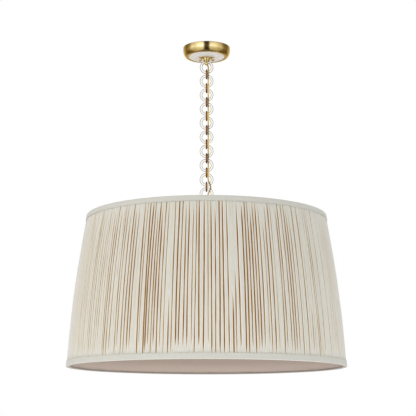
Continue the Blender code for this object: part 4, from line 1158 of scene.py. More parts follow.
@dataclass
class ShadeForm:
    """The cone that every piece of the shade follows, and the distances between its layers."""

    top_z: float = -0.49115
    height: float = 0.414
    top_radius: float = 0.332
    bottom_radius: float = 0.381
    bulge: float = 0.0050
    trim_thickness: float = 0.0008
    top_trim_width: float = 0.0150
    bottom_trim_width: float = 0.0160
    trim_inner_width: float = 0.0030
    cover_space: float = 0.0045
    wire_radius: float = 0.0018
    lining_thickness: float = 0.0008

    @property
    def bottom_z(self) -> float:
        """The height of the lower edge."""
        return self.top_z - self.height

    @property
    def top_wire_z(self) -> float:
        """The height of the upper wire's middle."""
        return self.top_z - self.trim_thickness - SEAT_GAP - self.wire_radius

    @property
    def bottom_wire_z(self) -> float:
        """The height of the lower wire's middle."""
        return self.bottom_z + self.trim_thickness + SEAT_GAP + self.wire_radius

    @property
    def wire_inset(self) -> float:
        """From the outer line in to a wire's middle."""
        return self.cover_space + SEAT_GAP + self.wire_radius

    @property
    def lining_inset(self) -> float:
        """From the outer line in to the lining's outer face."""
        return self.wire_inset + self.wire_radius + SEAT_GAP

    def radius(self, z: float) -> float:
        """The outer radius on the straight line between the two edges."""
        return self.top_radius + (self.bottom_radius - self.top_radius) * (self.top_z - z) / self.height

    def inset(self, z: float, distance: float) -> Pair:
        """A profile point that lies a distance inside the outer line."""
        return (self.radius(z) - distance, z)


def shell_mesh(name: str, points: Grid, around: Grid, down: Grid) -> Mesh:
    """A mesh from a grid of points that is closed both ways, with a UV map in metres.

    Args:
        name: The mesh's name.
        points: Rows by columns by three; the last row joins the first and so does the last column.
        around: For each point, the way round the shade.
        down: For each point, the way down the cloth.

    Returns:
        The smooth-shaded mesh.
    """
    rows, columns = points.shape[:2]
    index = np.arange(rows * columns).reshape(rows, columns)
    right = np.roll(index, -1, axis=1)
    corners = [index, right, np.roll(right, -1, axis=0), np.roll(index, -1, axis=0)]
    faces = np.stack(corners, axis=-1).reshape(-1, 4)
    mesh = bpy.data.meshes.new(name)
    mesh.from_pydata(points.reshape(-1, 3).tolist(), [], faces.tolist())
    mesh.update()
    u, v = around.reshape(-1)[faces], down.reshape(-1)[faces]
    width = around.max() * 0.5
    u = np.where(u < u.max(axis=1, keepdims=True) - width, u + around.max(), u)
    layer = mesh.uv_layers.new(name="cloth")
    layer.data.foreach_set("uv", np.stack([u, v], axis=-1).reshape(-1).astype(np.float32))
    mesh.shade_smooth()
    return mesh


@dataclass
class PleatedCover:
    """Hand-laid pleats: flat and close at both trims, parting unevenly halfway down."""

    form: ShadeForm
    pleat_count: int = 248
    row_count: int = 46
    cloth: float = 0.0004
    gap_half_width: float = 0.0012
    gap_depth: float = 0.0030
    least_half_width: float = 0.00025
    least_depth: float = 0.0004
    parting_range: Pair = (0.03, 1.2)
    opening_reach: float = 0.24
    closing_reach: float = 0.12
    fray: float = 0.14
    ripple: float = 0.0001
    tuck: float = 0.0002
    crest_power: float = 0.85
    shoulder: float = 0.0005
    shoulder_sink: float = 0.0001
    shoulder_shade: float = 0.08
    crest_sink: float = 0.0006
    crest_places: tuple[float, ...] = (0.25, 0.55, 0.85)
    width_spread: float = 0.18
    width_range: Pair = (0.76, 1.5)
    wide_share: float = 0.04
    strength: Pair = (0.96, 0.20)
    strength_range: Pair = (0.45, 1.25)
    weak_share: float = 0.06
    late_share: float = 0.04
    late_start: Pair = (0.30, 0.70)
    usual_start: Pair = (-0.12, 0.04)
    usual_end: Pair = (0.94, 1.04)
    sway: float = 0.0004
    lean: float = 0.0018
    puff: Pair = (0.0002, 0.0009)
    tilt: Pair = (-0.0003, 0.0006)
    walls: tuple[Triple, ...] = ((0.6, 0.92, 0.95), (1.0, 0.35, 0.45))
    seed: int = 41
    flat: Pair = (2.85, 0.43)

    def drawn_gaps(self) -> dict[str, Grid]:
        """The seeded draw of each pleat's place, width, parting and drift."""
        draw = np.random.default_rng(self.seed)
        count = self.pleat_count
        turns = np.arange(count) * FULL_TURN
        slow = np.sin(turns * 7 / count + 1.0) + np.sin(turns * 17 / count)
        widths = np.clip(np.exp(draw.normal(0.0, self.width_spread, count) + 0.05 * slow), *self.width_range)
        widths[draw.random(count) < self.wide_share] *= 1.5
        edges = np.concatenate([[0.0], np.cumsum(widths)[:-1]]) / widths.sum() * FULL_TURN
        strength = np.clip(draw.normal(*self.strength, count), *self.strength_range)
        strength[draw.random(count) < self.weak_share] *= 0.4
        late = draw.random(count) < self.late_share
        starts = [draw.uniform(*span, count) for span in (self.late_start, self.usual_start)]
        return {
            "edge": edges,
            "strength": strength,
            "start": np.where(late, *starts),
            "end": draw.uniform(*self.usual_end, count),
            "sway": draw.normal(0.0, self.sway, count),
            "lean": draw.normal(0.0, self.lean, count),
            "turn": draw.uniform(0.0, FULL_TURN, count),
            "puff": draw.uniform(*self.puff, count),
            "tilt": draw.uniform(*self.tilt, count),
            "split": draw.uniform(1.0, 4.0, count),
        }

    def crest_offset(self, share: Grid) -> Grid:
        """How far the crests stand off the straight line at a share of the height."""
        form = self.form
        tucked = form.trim_thickness + SEAT_GAP + self.tuck
        top_hem = form.top_trim_width / form.height
        bottom_hem = 1 - form.bottom_trim_width / form.height
        free = np.clip((share - top_hem) / (bottom_hem - top_hem), 0, 1)
        return (form.bulge + tucked - self.cloth) * np.sin(math.pi * free) ** self.crest_power - tucked

    def build(self, finish: Material) -> Piece:
        """The cover as one closed cloth, with its parting stored for the finish's painted highlight and
        shade.
        """
        form, gaps = self.form, self.drawn_gaps()
        top = form.top_z - form.trim_thickness - SEAT_GAP
        bottom = form.bottom_z + form.trim_thickness + SEAT_GAP
        share = np.linspace(0, 1, self.row_count)[:, None]
        z = top + (bottom - top) * share
        line = form.top_radius + (form.bottom_radius - form.top_radius) * (form.top_z - z) / form.height
        crest = line + self.crest_offset(share)
        opening = np.clip((share - gaps["start"]) / self.opening_reach, 0, 1)
        closing = np.clip((gaps["end"] - share) / self.closing_reach, 0, 1)
        fray = 1 + self.fray * np.sin(gaps["split"] * FULL_TURN * share + gaps["turn"])
        parting = gaps["strength"] * np.sin(opening * math.pi / 2) * np.sin(closing * math.pi / 2) * fray
        parting = np.clip(parting, *self.parting_range)
        drift = gaps["sway"] * np.sin(math.pi * share) + gaps["lean"] * (share - 0.5)
        drift = drift + self.ripple * np.sin(3 * FULL_TURN * share + gaps["turn"])
        edge = gaps["edge"] + drift / line
        following = np.roll(edge, -1, axis=1)
        following[:, -1] += FULL_TURN
        half = (self.least_half_width + self.gap_half_width * parting) / line
        half_after = np.roll(half, -1, axis=1)
        deepest = crest - (line - form.cover_space + self.cloth + self.tuck)
        under = np.minimum(self.least_depth + self.gap_depth * parting, deepest)
        under_after = np.roll(under, -1, axis=1)
        shoulder = self.shoulder / line
        start, end = edge + half + shoulder, following - half_after - shoulder
        span = end - start
        parting_after = np.roll(parting, -1, axis=1)
        columns = [(edge, crest - under, parting)]
        for width, deep, shade in self.walls:
            columns.append((edge + half * width, crest - under * deep, parting * shade))
        columns.append((start, crest - self.shoulder_sink, parting * self.shoulder_shade))
        for place in self.crest_places:
            uneven = 0.6 + 0.4 * np.sin(FULL_TURN * share + gaps["turn"])
            swell = gaps["puff"] * math.sin(math.pi * place) * uneven
            lift = gaps["tilt"] * (place - 0.5) * np.sin(math.pi * share)
            raised = crest + np.minimum(swell + lift, form.bulge) - self.crest_sink
            columns.append((start + span * place, raised, parting * 0))
        columns.append((end, crest - self.shoulder_sink, parting_after * self.shoulder_shade))
        for width, deep, shade in reversed(self.walls):
            place = following - half_after * width
            columns.append((place, crest - under_after * deep, parting_after * shade))
        level = 0 * (crest + edge)
        grids = [np.stack([column[part] + level for column in columns], axis=-1) for part in range(3)]
        angle, radius, depth = (grid.reshape(self.row_count, -1) for grid in grids)
        return self.cloth_from(angle, radius, z, depth, finish)

    def cloth_from(
        self,
        angle: Grid,
        radius: Grid,
        z: Grid,
        depth: Grid,
        finish: Material,
    ) -> Piece:
        """Turns the cover's outer face into a thin closed cloth.

        Args:
            angle: The turn of each point, rows by columns.
            radius: The radius of each point.
            z: The height of each row.
            depth: How far the pleats part at each point.
            finish: The cloth's material.

        Returns:
            The cover, riding on the fixture.
        """
        angle = np.concatenate([angle, angle[::-1]])
        radius = np.concatenate([radius, radius[::-1] - self.cloth])
        height = np.concatenate([z, z[::-1]]) + 0 * angle
        depth = np.concatenate([depth, depth[::-1]])
        points = np.stack([radius * np.cos(angle), radius * np.sin(angle), height], axis=-1)
        middle = (self.form.top_radius + self.form.bottom_radius) / 2
        mesh = shell_mesh("silk_pleats", points, angle * middle, -height)
        # The parting drives the finish: a painted highlight beside each groove and painted shade in it.
        gap = mesh.attributes.new("gap", "FLOAT", "POINT")
        gap.data.foreach_set("value", np.clip(depth, 0, 1).reshape(-1).astype(np.float32))
        return seat(placed(mesh, finish), Body.FIXTURE, Slot.PLEATED_CLOTH, "pleated_cover")


@dataclass
class Shade:
    """The drum shade: wire frame, spider, lining, pleated cover and the bands on its two edges."""

    form: ShadeForm
    segments: int = 720
    rib_count: int = 8
    rib_radius: float = 0.0012
    arm_count: int = 3
    arm_radius: float = 0.0024
    spider_drop: float = 0.018
    spider_knee: float = 0.030
    hub_radius: float = 0.016
    hub_thickness: float = 0.0060
    hub_bore: float = 0.0053
    stitch_pitch: float = 0.0034
    stitch_length: float = 0.0021
    stitch_radius: float = 0.00028
    stitch_inset: float = 0.0013
    stitch_sink: float = 0.00025
    stitch_rise: float = 0.0004
    stitch_stray: float = 0.00008
    band_wave: float = 0.00018
    lining_wave: float = 0.0001
    lining_seed: int = 5
    outward_stray: float = 0.0001
    fold_reach: float = 0.0012
    fold: tuple[Pair, ...] = ((0.0003, 0.0005), (0.0, 0.0016))
    fold_inset: float = 0.0008
    back_fold: Pair = (0.0004, 0.0001)
    back_reach: float = 0.0014
    hub_ease: float = 0.0009
    arm_start: float = 0.66
    bead_play: float = 0.0003
    bead_radius: float = 0.0011

    def band_mesh(self, name: str, profile: Profile, wave: float, seed: int) -> Mesh:
        """A closed band of cloth from its section, with a slow uneven wave.

        Args:
            name: The mesh's name.
            profile: Radius and height of its section's points.
            wave: How far the cloth strays in and out.
            seed: The draw of the wave.

        Returns:
            The band's mesh.
        """
        draw = np.random.default_rng(seed)
        turns = np.linspace(0, FULL_TURN, self.segments, endpoint=False)
        stray = np.zeros(self.segments)
        for count in (23, 41, 67, 113, 176):
            stray += np.sin(count * turns + draw.uniform(0, FULL_TURN)) * wave / 3
        section = np.array(profile)
        radius = section[:, :1] + np.minimum(stray, self.outward_stray)
        height = section[:, 1:] + 0 * turns
        points = np.stack([radius * np.cos(turns), radius * np.sin(turns), height], axis=-1)
        steps = np.linalg.norm(np.diff(section, axis=0), axis=1)
        down = np.concatenate([[0.0], np.cumsum(steps)])[:, None] + 0 * turns
        around = turns[None, :] * section[0, 0] + 0 * down
        return shell_mesh(name, points, around, down)

    def build_band(
        self,
        name: str,
        edge: float,
        inward: int,
        width: float,
        finishes: Sequence[Material],
        seed: int,
    ) -> None:
        """A plain cloth band folded over an edge of the shade, with a row of stitches near its hem.

        Args:
            name: The node that it replaces.
            edge: The height of the shade's edge.
            inward: Which way the band runs from that edge, 1 up and -1 down.
            width: Its width on the outside.
            finishes: The cloth's material, and a darker copy, painted shade, for the part folded inward and
                under.
            seed: The draw of its waves.
        """
        form = self.form
        thick = form.trim_thickness
        inner = form.lining_inset + form.lining_thickness + SEAT_GAP
        hem, inner_hem = edge + inward * width, edge + inward * form.trim_inner_width
        outer_line = [form.inset(edge + inward * step, 0) for step in np.linspace(width, self.fold_reach, 9)]
        fold = [form.inset(edge + inward * rise, deep) for rise, deep in self.fold]
        fold.append(form.inset(edge, inner - self.fold_inset))
        back = [form.inset(edge + inward * self.back_fold[0], inner + thick - self.back_fold[1])]
        steps = np.linspace(self.back_reach, form.trim_inner_width, 3)
        back += [form.inset(edge + inward * step, inner + thick) for step in steps]
        under = [form.inset(inner_hem, inner), form.inset(edge + inward * thick, inner)]
        under += [form.inset(edge + inward * thick, thick), form.inset(hem, thick)]
        profile = [*outer_line, *fold, *back, *under]
        mesh = self.band_mesh(f"folded_{name}", profile, self.band_wave, seed)
        bm = bmesh.new()
        bm.from_mesh(mesh)
        bmesh.ops.recalc_face_normals(bm, faces=bm.faces[:])
        bm.to_mesh(mesh)
        bm.free()
        smoothed(mesh)
        # The folded-in and underside faces take the darker copy: painted shade where the band turns under.
        folded = np.zeros((len(profile), self.segments), dtype=np.int32)
        folded[len(outer_line) + 1 : len(outer_line) + len(fold) + len(back)] = 1
        mesh.polygons.foreach_set("material_index", folded.ravel())
        band = seat(placed(mesh, *finishes), Body.FIXTURE, Slot.TRIM_CLOTH, name)
        stitches = self.build_stitches(f"{name}_stitches", hem - inward * self.stitch_inset)

    def build_stitches(self, name: str, z: float) -> Piece:
        """A row of stitches round the shade, each a short thread that dips into the cloth at its ends."""
        radius = self.form.radius(z)
        count = round(FULL_TURN * radius / self.stitch_pitch)
        draw = np.random.default_rng(count)
        bm = bmesh.new()
        sides, steps = 6, 6
        for index in range(count):
            middle = FULL_TURN * index / count
            half = self.stitch_length / 2 / radius * draw.uniform(0.88, 1.08)
            lift = draw.uniform(-self.stitch_stray, self.stitch_stray)
            path = []
            for step in range(steps + 1):
                share = step / steps
                turn = middle - half + 2 * half * share
                reach = radius - self.stitch_sink + self.stitch_rise * math.sin(math.pi * share)
                path.append(Vector((reach * math.cos(turn), reach * math.sin(turn), z + lift)))
            grow(bm, swept(path, self.stitch_radius, sides), capped=True)
        bmesh.ops.recalc_face_normals(bm, faces=bm.faces[:])
        mesh = bpy.data.meshes.new(name)
        bm.to_mesh(mesh)
        bm.free()
        mesh.shade_smooth()
        tones = ((0.50, 0.47, 0.40), (0.36, 0.33, 0.27))
        thread = CoatedMetal(f"{name}_thread", *tones, 0.0, 0.8, 2500.0).make()
        return seat(placed(mesh, thread), Body.FIXTURE, Slot.TRIM_CLOTH)

    def build_lining(self, finish: Material) -> None:
        """The smooth lining inside the wire frame."""
        form = self.form
        top = form.top_z - form.trim_thickness - SEAT_GAP
        bottom = form.bottom_z + form.trim_thickness + SEAT_GAP
        outer, inner = form.lining_inset, form.lining_inset + form.lining_thickness
        heights = np.linspace(top, bottom, 14)
        profile = [form.inset(z, outer) for z in heights] + [form.inset(z, inner) for z in heights[::-1]]
        mesh = self.band_mesh("smooth_lining", profile, self.lining_wave, self.lining_seed)
        lining = seat(placed(mesh, finish), Body.FIXTURE, Slot.LINING_CLOTH, "shade_lining")

    def build_frame(self, finish: Material) -> None:
        """The two wire rings and the ribs welded between them."""
        form = self.form
        bm = bmesh.new()
        for z in (form.top_wire_z, form.bottom_wire_z):
            centre = form.radius(z) - form.wire_inset
            section = arc((centre, z), (form.wire_radius, form.wire_radius), 0, 345, 23)
            add_mesh(bm, rows_mesh("wire", turned(section, 240), looped=True))
        for rib in range(self.rib_count):
            turn = FULL_TURN * rib / self.rib_count
            ends = []
            for z in (form.bottom_wire_z, form.top_wire_z):
                reach = form.radius(z) - form.wire_inset
                ends.append(Vector((reach * math.cos(turn), reach * math.sin(turn), z)))
            add_mesh(bm, rows_mesh("rib", swept(ends, self.rib_radius, 16), capped=True))
        seat(placed(finished(bm, "wire_frame"), finish), Body.FIXTURE, Slot.WHITE_WIRE, "shade_frame")

    def build_spider(self, finish: Material) -> None:
        """The hub on the stem with its welded arms, which rise to the upper wire."""
        form = self.form
        hub_z = form.top_wire_z - self.spider_drop
        half = self.hub_thickness / 2
        rim, bore = self.hub_radius, self.hub_bore
        outline = [(rim, half), (rim, -half), (bore, -half), (bore, half)]
        bm = bmesh.new()
        hub = rows_mesh("hub", turned(eased(outline, self.hub_ease, closed=True), 96), looped=True)
        hub.transform(Matrix.Translation((0, 0, hub_z)))
        add_mesh(bm, hub)
        end = form.radius(form.top_wire_z) - form.wire_inset - form.wire_radius - SEAT_GAP
        start, knee = self.hub_radius * self.arm_start, end - self.spider_knee
        for arm in range(self.arm_count):
            turn = math.pi / 2 + FULL_TURN * arm / self.arm_count
            out = Vector((math.cos(turn), math.sin(turn), 0))
            path = [out * (start + (knee - start) * step / 6) for step in range(6)]
            for step in range(15):
                share = step / 14
                rise = self.spider_drop * (1 - math.cos(math.pi * share)) / 2
                path.append(out * (knee + self.spider_knee * share) + Vector((0, 0, rise)))
            path = [place + Vector((0, 0, hub_z)) for place in path]
            add_mesh(bm, rows_mesh("arm", swept(path, self.arm_radius, 20), capped=True))
            bead_rows = ring_rows(self.arm_radius + self.bead_play, self.bead_radius, 28, 12)
            bead = rows_mesh("bead", bead_rows, looped=True)
            aside = Matrix.Rotation(turn - math.pi / 2, 4, "Z")
            bead.transform(Matrix.Translation(out * self.hub_radius + Vector((0, 0, hub_z))) @ aside)
            add_mesh(bm, bead)
        seat(placed(finished(bm, "welded_spider"), finish), Body.FIXTURE, Slot.WHITE_WIRE, "shade_spider")

    def build(self) -> None:
        """The whole shade."""
        form = self.form
        wire = CoatedMetal("white_powder_coat", (0.75, 0.74, 0.71), (0.66, 0.65, 0.62), 0.0, 0.48).make()
        linen = {"pitch": 0.0009, "depth": 0.00014}
        band = SpunCloth("band_linen", (0.65, 0.64, 0.585), (0.50, 0.495, 0.435), **linen).make()
        # A darker copy of the band's linen, painted shade for the turned-under part of each band.
        shaded_turned_in = SpunCloth("band_linen_shaded_fold", (0.40, 0.365, 0.33), (0.33, 0.30, 0.27), **linen).make()
        satin = {"pitch": 0.0004, "depth": 0.00004}
        plain = SpunCloth("lining_satin", (0.45, 0.37, 0.32), (0.38, 0.31, 0.265), **satin).make()
        silk = PleatedSilk("pleated_silk", (0.70, 0.68, 0.615), (0.585, 0.555, 0.475), pitch=0.0006).make()
        self.build_frame(wire)
        self.build_spider(wire)
        self.build_lining(plain)
        cover = PleatedCover(form)
        cover.build(silk)
        linens = (band, shaded_turned_in)
        self.build_band("top_trim", form.top_z, -1, form.top_trim_width, linens, 11)
        self.build_band("bottom_trim", form.bottom_z, 1, form.bottom_trim_width, linens, 12)
        log.info("shade: frame, spider, lining, %d pleats and two bands", cover.pleat_count)


# Lamps ------------------------------------------------------------------------------------------------


@dataclass
class LampCluster:
    """The stem below the lower loop, the brass housing on it, and three sockets with frosted bulbs."""

    frame: dict
    brass: Material
    last_ring_z: float = -0.46495
    stem_radius: float = 0.0050
    stem_bore: float = 0.0032
    stem_top_z: float = -0.5034
    stem_bottom_z: float = -0.6544
    thread_pitch: float = 0.0010
    thread_depth: float = 0.00030
    sleeve_wall: float = 0.0028
    sleeve_top_z: float = -0.4949
    sleeve_bottom_z: float = -0.50875
    body_radius: float = 0.028
    body_top_z: float = -0.6076
    body_bottom_z: float = -0.6436
    body_round: float = 0.005
    body_wall: float = 0.0016
    cover_top_z: float = -0.6439
    cover_thickness: float = 0.002
    finial_top_z: float = -0.6462
    finial_radius: float = 0.0100
    finial_face_radius: float = 0.0076
    finial_height: float = 0.016
    finial_bore_depth: float = 0.0085
    finial_tip_radius: float = 0.0042
    lamp_count: int = 3
    lamp_tilt: float = math.radians(30)
    lamp_axis_z: float = -0.6156
    boss_radius: float = 0.0105
    boss_reach: float = 0.043
    boss_bore: float = 0.0045
    socket_length: float = 0.048
    socket_cap_radius: float = 0.0150
    socket_radius: float = 0.0190
    socket_shoulder: float = 0.012
    socket_bore: float = 0.0138
    socket_bore_depth: float = 0.027
    bulb_base_radius: float = 0.0132
    bulb_base_length: float = 0.0275
    bulb_neck_radius: float = 0.0150
    bulb_globe_radius: float = 0.030
    bulb_length: float = 0.106
    loop_neck: float = 0.0085
    sleeve_ease: float = 0.0006
    cover_ease: float = 0.0007
    moulded_ease: float = 0.0008
    rib_places: tuple[float, ...] = (0.0190, 0.0235, 0.0280, 0.0325)
    rib_line: tuple[Pair, ...] = ((0.0, 0.0), (0.0007, 0.0006), (0.0007, 0.0016), (0.0, 0.0022))
    segments: int = 96

    def part(self, name: str, rows: Rows, node: str, looped: bool = True) -> Piece:
        """A turned brass piece in its place, riding on the fixture."""
        return seat(placed(rows_mesh(name, rows, looped), self.brass), Body.FIXTURE, Slot.BRASS, node)

    def build_stem(self) -> None:
        """The threaded stem and the smooth sleeve round its top."""
        count = round((self.stem_top_z - self.stem_bottom_z) / self.thread_pitch)
        outside = []
        for turn in range(count):
            z = self.stem_top_z - self.thread_pitch * turn
            root = self.stem_radius - self.thread_depth
            outside += [(root, z), (self.stem_radius, z - self.thread_pitch * 0.5)]
        outside.append((self.stem_radius - self.thread_depth, self.stem_bottom_z))
        profile = [*outside, (self.stem_bore, self.stem_bottom_z), (self.stem_bore, self.stem_top_z)]
        self.part("threaded_stem", turned(profile, 40), "stem")
        bore = self.stem_radius + SEAT_GAP
        outer = bore + self.sleeve_wall
        top, bottom = self.sleeve_top_z, self.sleeve_bottom_z
        sleeve = [(outer, top), (outer, bottom), (bore, bottom), (bore, top)]
        sleeve = eased(sleeve, self.sleeve_ease, closed=True)
        self.part("smooth_sleeve", turned(sleeve, 64), "stem_sleeve")

    def lamp_place(self, lamp: int, way: float) -> Matrix:
        """The place of a point on a lamp's axis, turned so that +Z runs out along it."""
        turn = -math.pi / 2 + FULL_TURN * lamp / self.lamp_count
        level = math.cos(self.lamp_tilt)
        out = Vector((level * math.cos(turn), level * math.sin(turn), -math.sin(self.lamp_tilt)))
        quaternion = Vector((0, 0, 1)).rotation_difference(out)
        place = Vector((0, 0, self.lamp_axis_z)) + out * way
        return Matrix.Translation(place) @ quaternion.to_matrix().to_4x4()

    def build_body(self) -> None:
        """The drawn housing with its three bosses, its cover plate and the finial."""
        radius, top, bottom = self.body_radius, self.body_top_z, self.body_bottom_z
        hole, wall = self.stem_radius + SEAT_GAP, self.body_wall
        rounding = self.body_round
        shoulder = arc((radius - rounding, top - rounding), (rounding, rounding), 90, 0, 8)
        inner = radius - wall
        outline = [
            (hole, top),
            *shoulder,
            (radius, bottom),
            (inner, bottom),
            (inner, top - wall - self.body_round),
            (inner - self.body_round, top - wall),
            (hole, top - wall),
        ]
        bm = bmesh.new()
        add_mesh(bm, rows_mesh("drawn_body", turned(outline, self.segments), looped=True))
        start = radius - self.body_round
        for lamp in range(self.lamp_count):
            reach, outer, bore = self.boss_reach - start, self.boss_radius, self.boss_bore
            boss = [(outer, 0), (outer, reach), (bore, reach), (bore, 0)]
            boss = eased(boss, self.moulded_ease, closed=True)
            mesh = rows_mesh("boss", turned(boss, 56), looped=True)
            mesh.transform(self.lamp_place(lamp, start))
            add_mesh(bm, mesh)
        seat(placed(finished(bm, "drawn_housing"), self.brass), Body.FIXTURE, Slot.BRASS, "cluster_body")
        face, thick = self.cover_top_z, self.cover_thickness
        plate = [(radius, face), (radius, face - thick), (hole, face - thick), (hole, face)]
        plate = eased(plate, self.cover_ease, closed=True)
        self.part("cover_plate", turned(plate, self.segments), "cluster_cover")
        knob = arc((0, -self.finial_radius / 2), (self.finial_radius, self.finial_radius / 2), 30, -50, 14)
        tip_z = self.finial_tip_radius - self.finial_height
        tip = arc((0, tip_z), (self.finial_tip_radius, self.finial_tip_radius), 20, -90, 10)
        bore = [(0, -self.finial_bore_depth), (hole, -self.finial_bore_depth), (hole, 0)]
        profile = [*bore, (self.finial_face_radius, 0), *knob, *tip]
        profile = [(r, z + self.finial_top_z) for r, z in profile]
        self.part("turned_finial", turned(profile, 64), "bottom_finial", looped=False)

    def build_lamps(self) -> None:
        """The sockets with their ribbed skirts, and the frosted bulbs."""
        phenolic = MouldedPlastic("black_phenolic", (0.030, 0.027, 0.025), (0.055, 0.048, 0.042), 0.34).make()
        frost = FrostedBulb("etched_bulb_glass").make()
        length, bore_end = self.socket_length, self.socket_length - self.socket_bore_depth
        radius = self.socket_radius
        ribs = [(radius - deep, z + rise) for z in self.rib_places for deep, rise in self.rib_line]
        outline = [
            (0, 0),
            (self.socket_cap_radius, 0),
            (self.socket_cap_radius, self.socket_shoulder),
            (self.socket_radius, self.socket_shoulder),
            *ribs,
            (self.socket_radius, length),
            (self.socket_bore, length),
            (self.socket_bore, bore_end),
            (0, bore_end),
        ]
        socket_rows = turned(eased(outline, self.moulded_ease), 72)
        globe_z = self.bulb_length - self.bulb_globe_radius
        globe = arc((0, globe_z), (self.bulb_globe_radius, self.bulb_globe_radius), -42, 90, 30)
        neck_end = self.bulb_base_length + SEAT_GAP
        neck = []
        for step in range(1, 9):
            share = step / 8
            radius = self.bulb_neck_radius + (globe[0][0] - self.bulb_neck_radius) * smooth_step(share)
            neck.append((radius, neck_end + (globe[0][1] - neck_end) * share))
        foot = self.bulb_base_radius
        base = [(0, 0), (foot / 2, 0), (foot, foot / 2), (foot, self.bulb_base_length)]
        bulb_rows = turned([*base, (self.bulb_neck_radius, neck_end), *neck, *globe[1:]], 72)
        seat_way = self.boss_reach + SEAT_GAP
        pieces = (
            ("ribbed_socket", "lamp_socket", socket_rows, seat_way, phenolic, Slot.SOCKET_PLASTIC),
            ("etched_bulb", "bulb", bulb_rows, seat_way + bore_end + SEAT_GAP, frost, Slot.BULB_DIFFUSER),
        )
        for lamp in range(self.lamp_count):
            for name, node, rows, way, finish, slot in pieces:
                mesh = rows_mesh(f"{name}_{lamp + 1}", rows)
                mesh.transform(self.lamp_place(lamp, way))
                seat(placed(mesh, finish), Body.FIXTURE, slot, f"{node}_{lamp + 1}")

    def build(self) -> None:
        """The lower loop, the stem, the housing and the lamps."""
        place = (self.last_ring_z, self.loop_neck)
        TurnedLoop("fixture_loop", *place, upside_down=True, body=Body.FIXTURE, material=self.brass).build()
        self.build_stem()
        self.build_body()
        self.build_lamps()
        dress(self.frame, ["hub_nut", "cluster_nut"], self.brass)
        log.info("lamps: stem, housing and %d lamps", self.lamp_count)


# Studio -----------------------------------------------------------------------------------------------


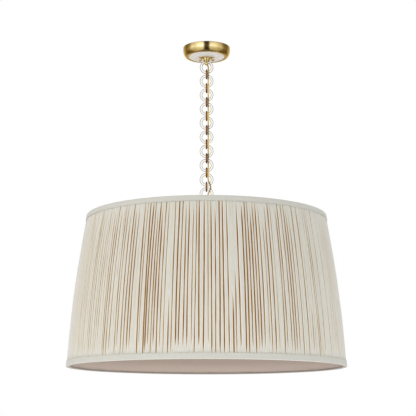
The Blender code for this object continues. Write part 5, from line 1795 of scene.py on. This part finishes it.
@dataclass
class Studio:
    """The camera at the photograph's view, soft lamps, a white surround and a pale floor far below."""

    camera_place: Triple = (0.004, -3.403, -1.092)
    camera_pitch: float = math.radians(10.46)
    lens: float = 107.5
    sensor: float = 36.0
    floor_z: float = -4.4
    floor_half: float = 12.0
    diffuse_level: float = 0.60
    rise_tones: Tones = (
        (-1.0, 0.60), (-0.75, 0.60), (-0.38, 0.78), (-0.14, 1.05),
        (0.08, 1.55), (0.32, 1.25), (0.55, 0.55), (1.0, 0.15),
    )
    depth_tones: Tones = ((-1.0, 1.0), (-0.25, 1.0), (0.10, 0.34), (0.45, 0.18), (0.75, 0.45), (1.0, 0.80))
    behind_span: Pair = (0.1, 0.7)
    behind_level: Colour = (0.85, 0.76, 0.58)
    side_tones: Tones = (
        (-1.0, 0.70), (-0.88, 0.78), (-0.62, 1.10), (-0.30, 1.15), (-0.15, 0.05),
        (0.17, 0.04), (0.30, 0.95), (0.60, 0.88), (1.0, 0.5),
    )
    clear_tones: Tones = ((-1.0, 0.5), (-0.5, 0.95), (-0.35, 1.0), (0.6, 1.0), (0.8, 0.5), (1.0, 0.4))

    def build_camera(self) -> None:
        """The camera of the main view."""
        data = bpy.data.cameras.new("main_camera")
        data.lens = self.lens
        data.sensor_width = self.sensor
        data.clip_end = 60.0
        camera = bpy.data.objects.new("main_camera", data)
        camera.location = self.camera_place
        camera.rotation_euler = (math.pi / 2 + self.camera_pitch, 0, 0)
        bpy.context.scene.collection.objects.link(camera)
        bpy.context.scene.camera = camera

    def build_lamp(
        self, name: str, place: Triple, aim: Triple, size: float, power: float, colour: Colour = (1, 1, 1)
    ) -> None:
        """A square soft lamp that faces a point.

        Args:
            name: The lamp's name.
            place: Where it stands.
            aim: The point it faces.
            size: Its side.
            power: Its power in watts.
            colour: Its colour.
        """
        data = bpy.data.lights.new(name, "AREA")
        data.shape = "SQUARE"
        data.size = size
        data.energy = power
        data.color = colour
        lamp = bpy.data.objects.new(name, data)
        lamp.visible_camera = False
        lamp.visible_glossy = False
        lamp.visible_transmission = False
        lamp.location = place
        lamp.rotation_mode = "QUATERNION"
        lamp.rotation_quaternion = (Vector(aim) - Vector(place)).to_track_quat("-Z", "Y")
        bpy.context.scene.collection.objects.link(lamp)

    def build_floor(self) -> None:
        """The pale floor."""
        recipe = Recipe("pale_floor", Base_Color=(0.84, 0.84, 0.83), Roughness=0.9)
        cloud = recipe.noise(recipe.place(), 0.8, 4.0)
        recipe.paint("Base Color", recipe.blend(cloud, (0.85, 0.85, 0.84), (0.82, 0.82, 0.81)))
        bm = bmesh.new()
        bmesh.ops.create_grid(bm, x_segments=24, y_segments=24, size=self.floor_half)
        bmesh.ops.translate(bm, verts=bm.verts[:], vec=(0, 0, self.floor_z))
        floor = placed(finished(bm, "studio_floor"), recipe.material)
        floor.visible_glossy = False

    def build_surround(self) -> None:
        """White for the camera, for gloss and for glass near eye level, and plain soft light."""
        world = bpy.data.worlds.new("white_surround")
        bpy.context.scene.world = world
        world.use_nodes = True
        world.node_tree.nodes.clear()
        nodes = Nodes(world.node_tree)
        path = nodes.node("LightPath")
        way = nodes.node("SeparateXYZ", Vector=nodes.node("TexCoord").outputs["Generated"])
        rise = nodes.tones(way.outputs["Z"], self.rise_tones)
        depth = nodes.tones(way.outputs["Y"], self.depth_tones)
        sides = nodes.tones(way.outputs["X"], self.side_tones)
        sides = nodes.blend(nodes.span(way.outputs["Y"], *self.behind_span), sides, self.behind_level)
        gloss = nodes.blend(1.0, nodes.blend(1.0, rise, depth, "MULTIPLY"), sides, "MULTIPLY")
        plain = (self.diffuse_level,) * 3
        level = nodes.blend(path.outputs["Is Glossy Ray"], plain, gloss)
        clear = nodes.tones(way.outputs["Z"], self.clear_tones)
        level = nodes.blend(path.outputs["Is Transmission Ray"], level, clear)
        level = nodes.blend(path.outputs["Is Camera Ray"], level, (1.0, 1.0, 1.0))
        background = nodes.node("Background", Color=level)
        nodes.node("OutputWorld", Surface=background.outputs[0])

    def build(self) -> None:
        """Everything round the light."""
        bpy.context.scene.view_settings.view_transform = "Standard"
        self.build_camera()
        self.build_lamp("key_lamp", (-2.9, -2.1, 0.5), (0, 0, -0.65), 2.6, 56.0, (1.0, 0.99, 0.97))
        self.build_lamp("fill_lamp", (3.0, -1.9, -0.2), (0, 0, -0.65), 2.6, 34.0, (0.97, 0.985, 1.0))
        self.build_lamp("back_lamp", (0.4, 2.8, 0.9), (0, 0, -0.5), 2.2, 30.0)
        self.build_lamp("bounce_lamp", (0, -0.6, -2.2), (0, 0, 0), 2.6, 36.0)
        self.build_floor()
        self.build_surround()
        log.info("studio: camera, four lamps, surround and floor")


def main() -> None:
    """Builds the studio, then the light from the ceiling down."""
    logging.basicConfig(level=logging.INFO, format="%(name)s: %(message)s")
    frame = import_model()
    Studio().build()
    brass = TurnedBrass("satin_brass").make()
    Canopy(frame, brass).build()
    chain = Chain()
    chain.build()
    WovenCord(chain).build()
    Shade(ShadeForm()).build()
    LampCluster(frame, brass).build()


if __name__ == "__main__":
    main()
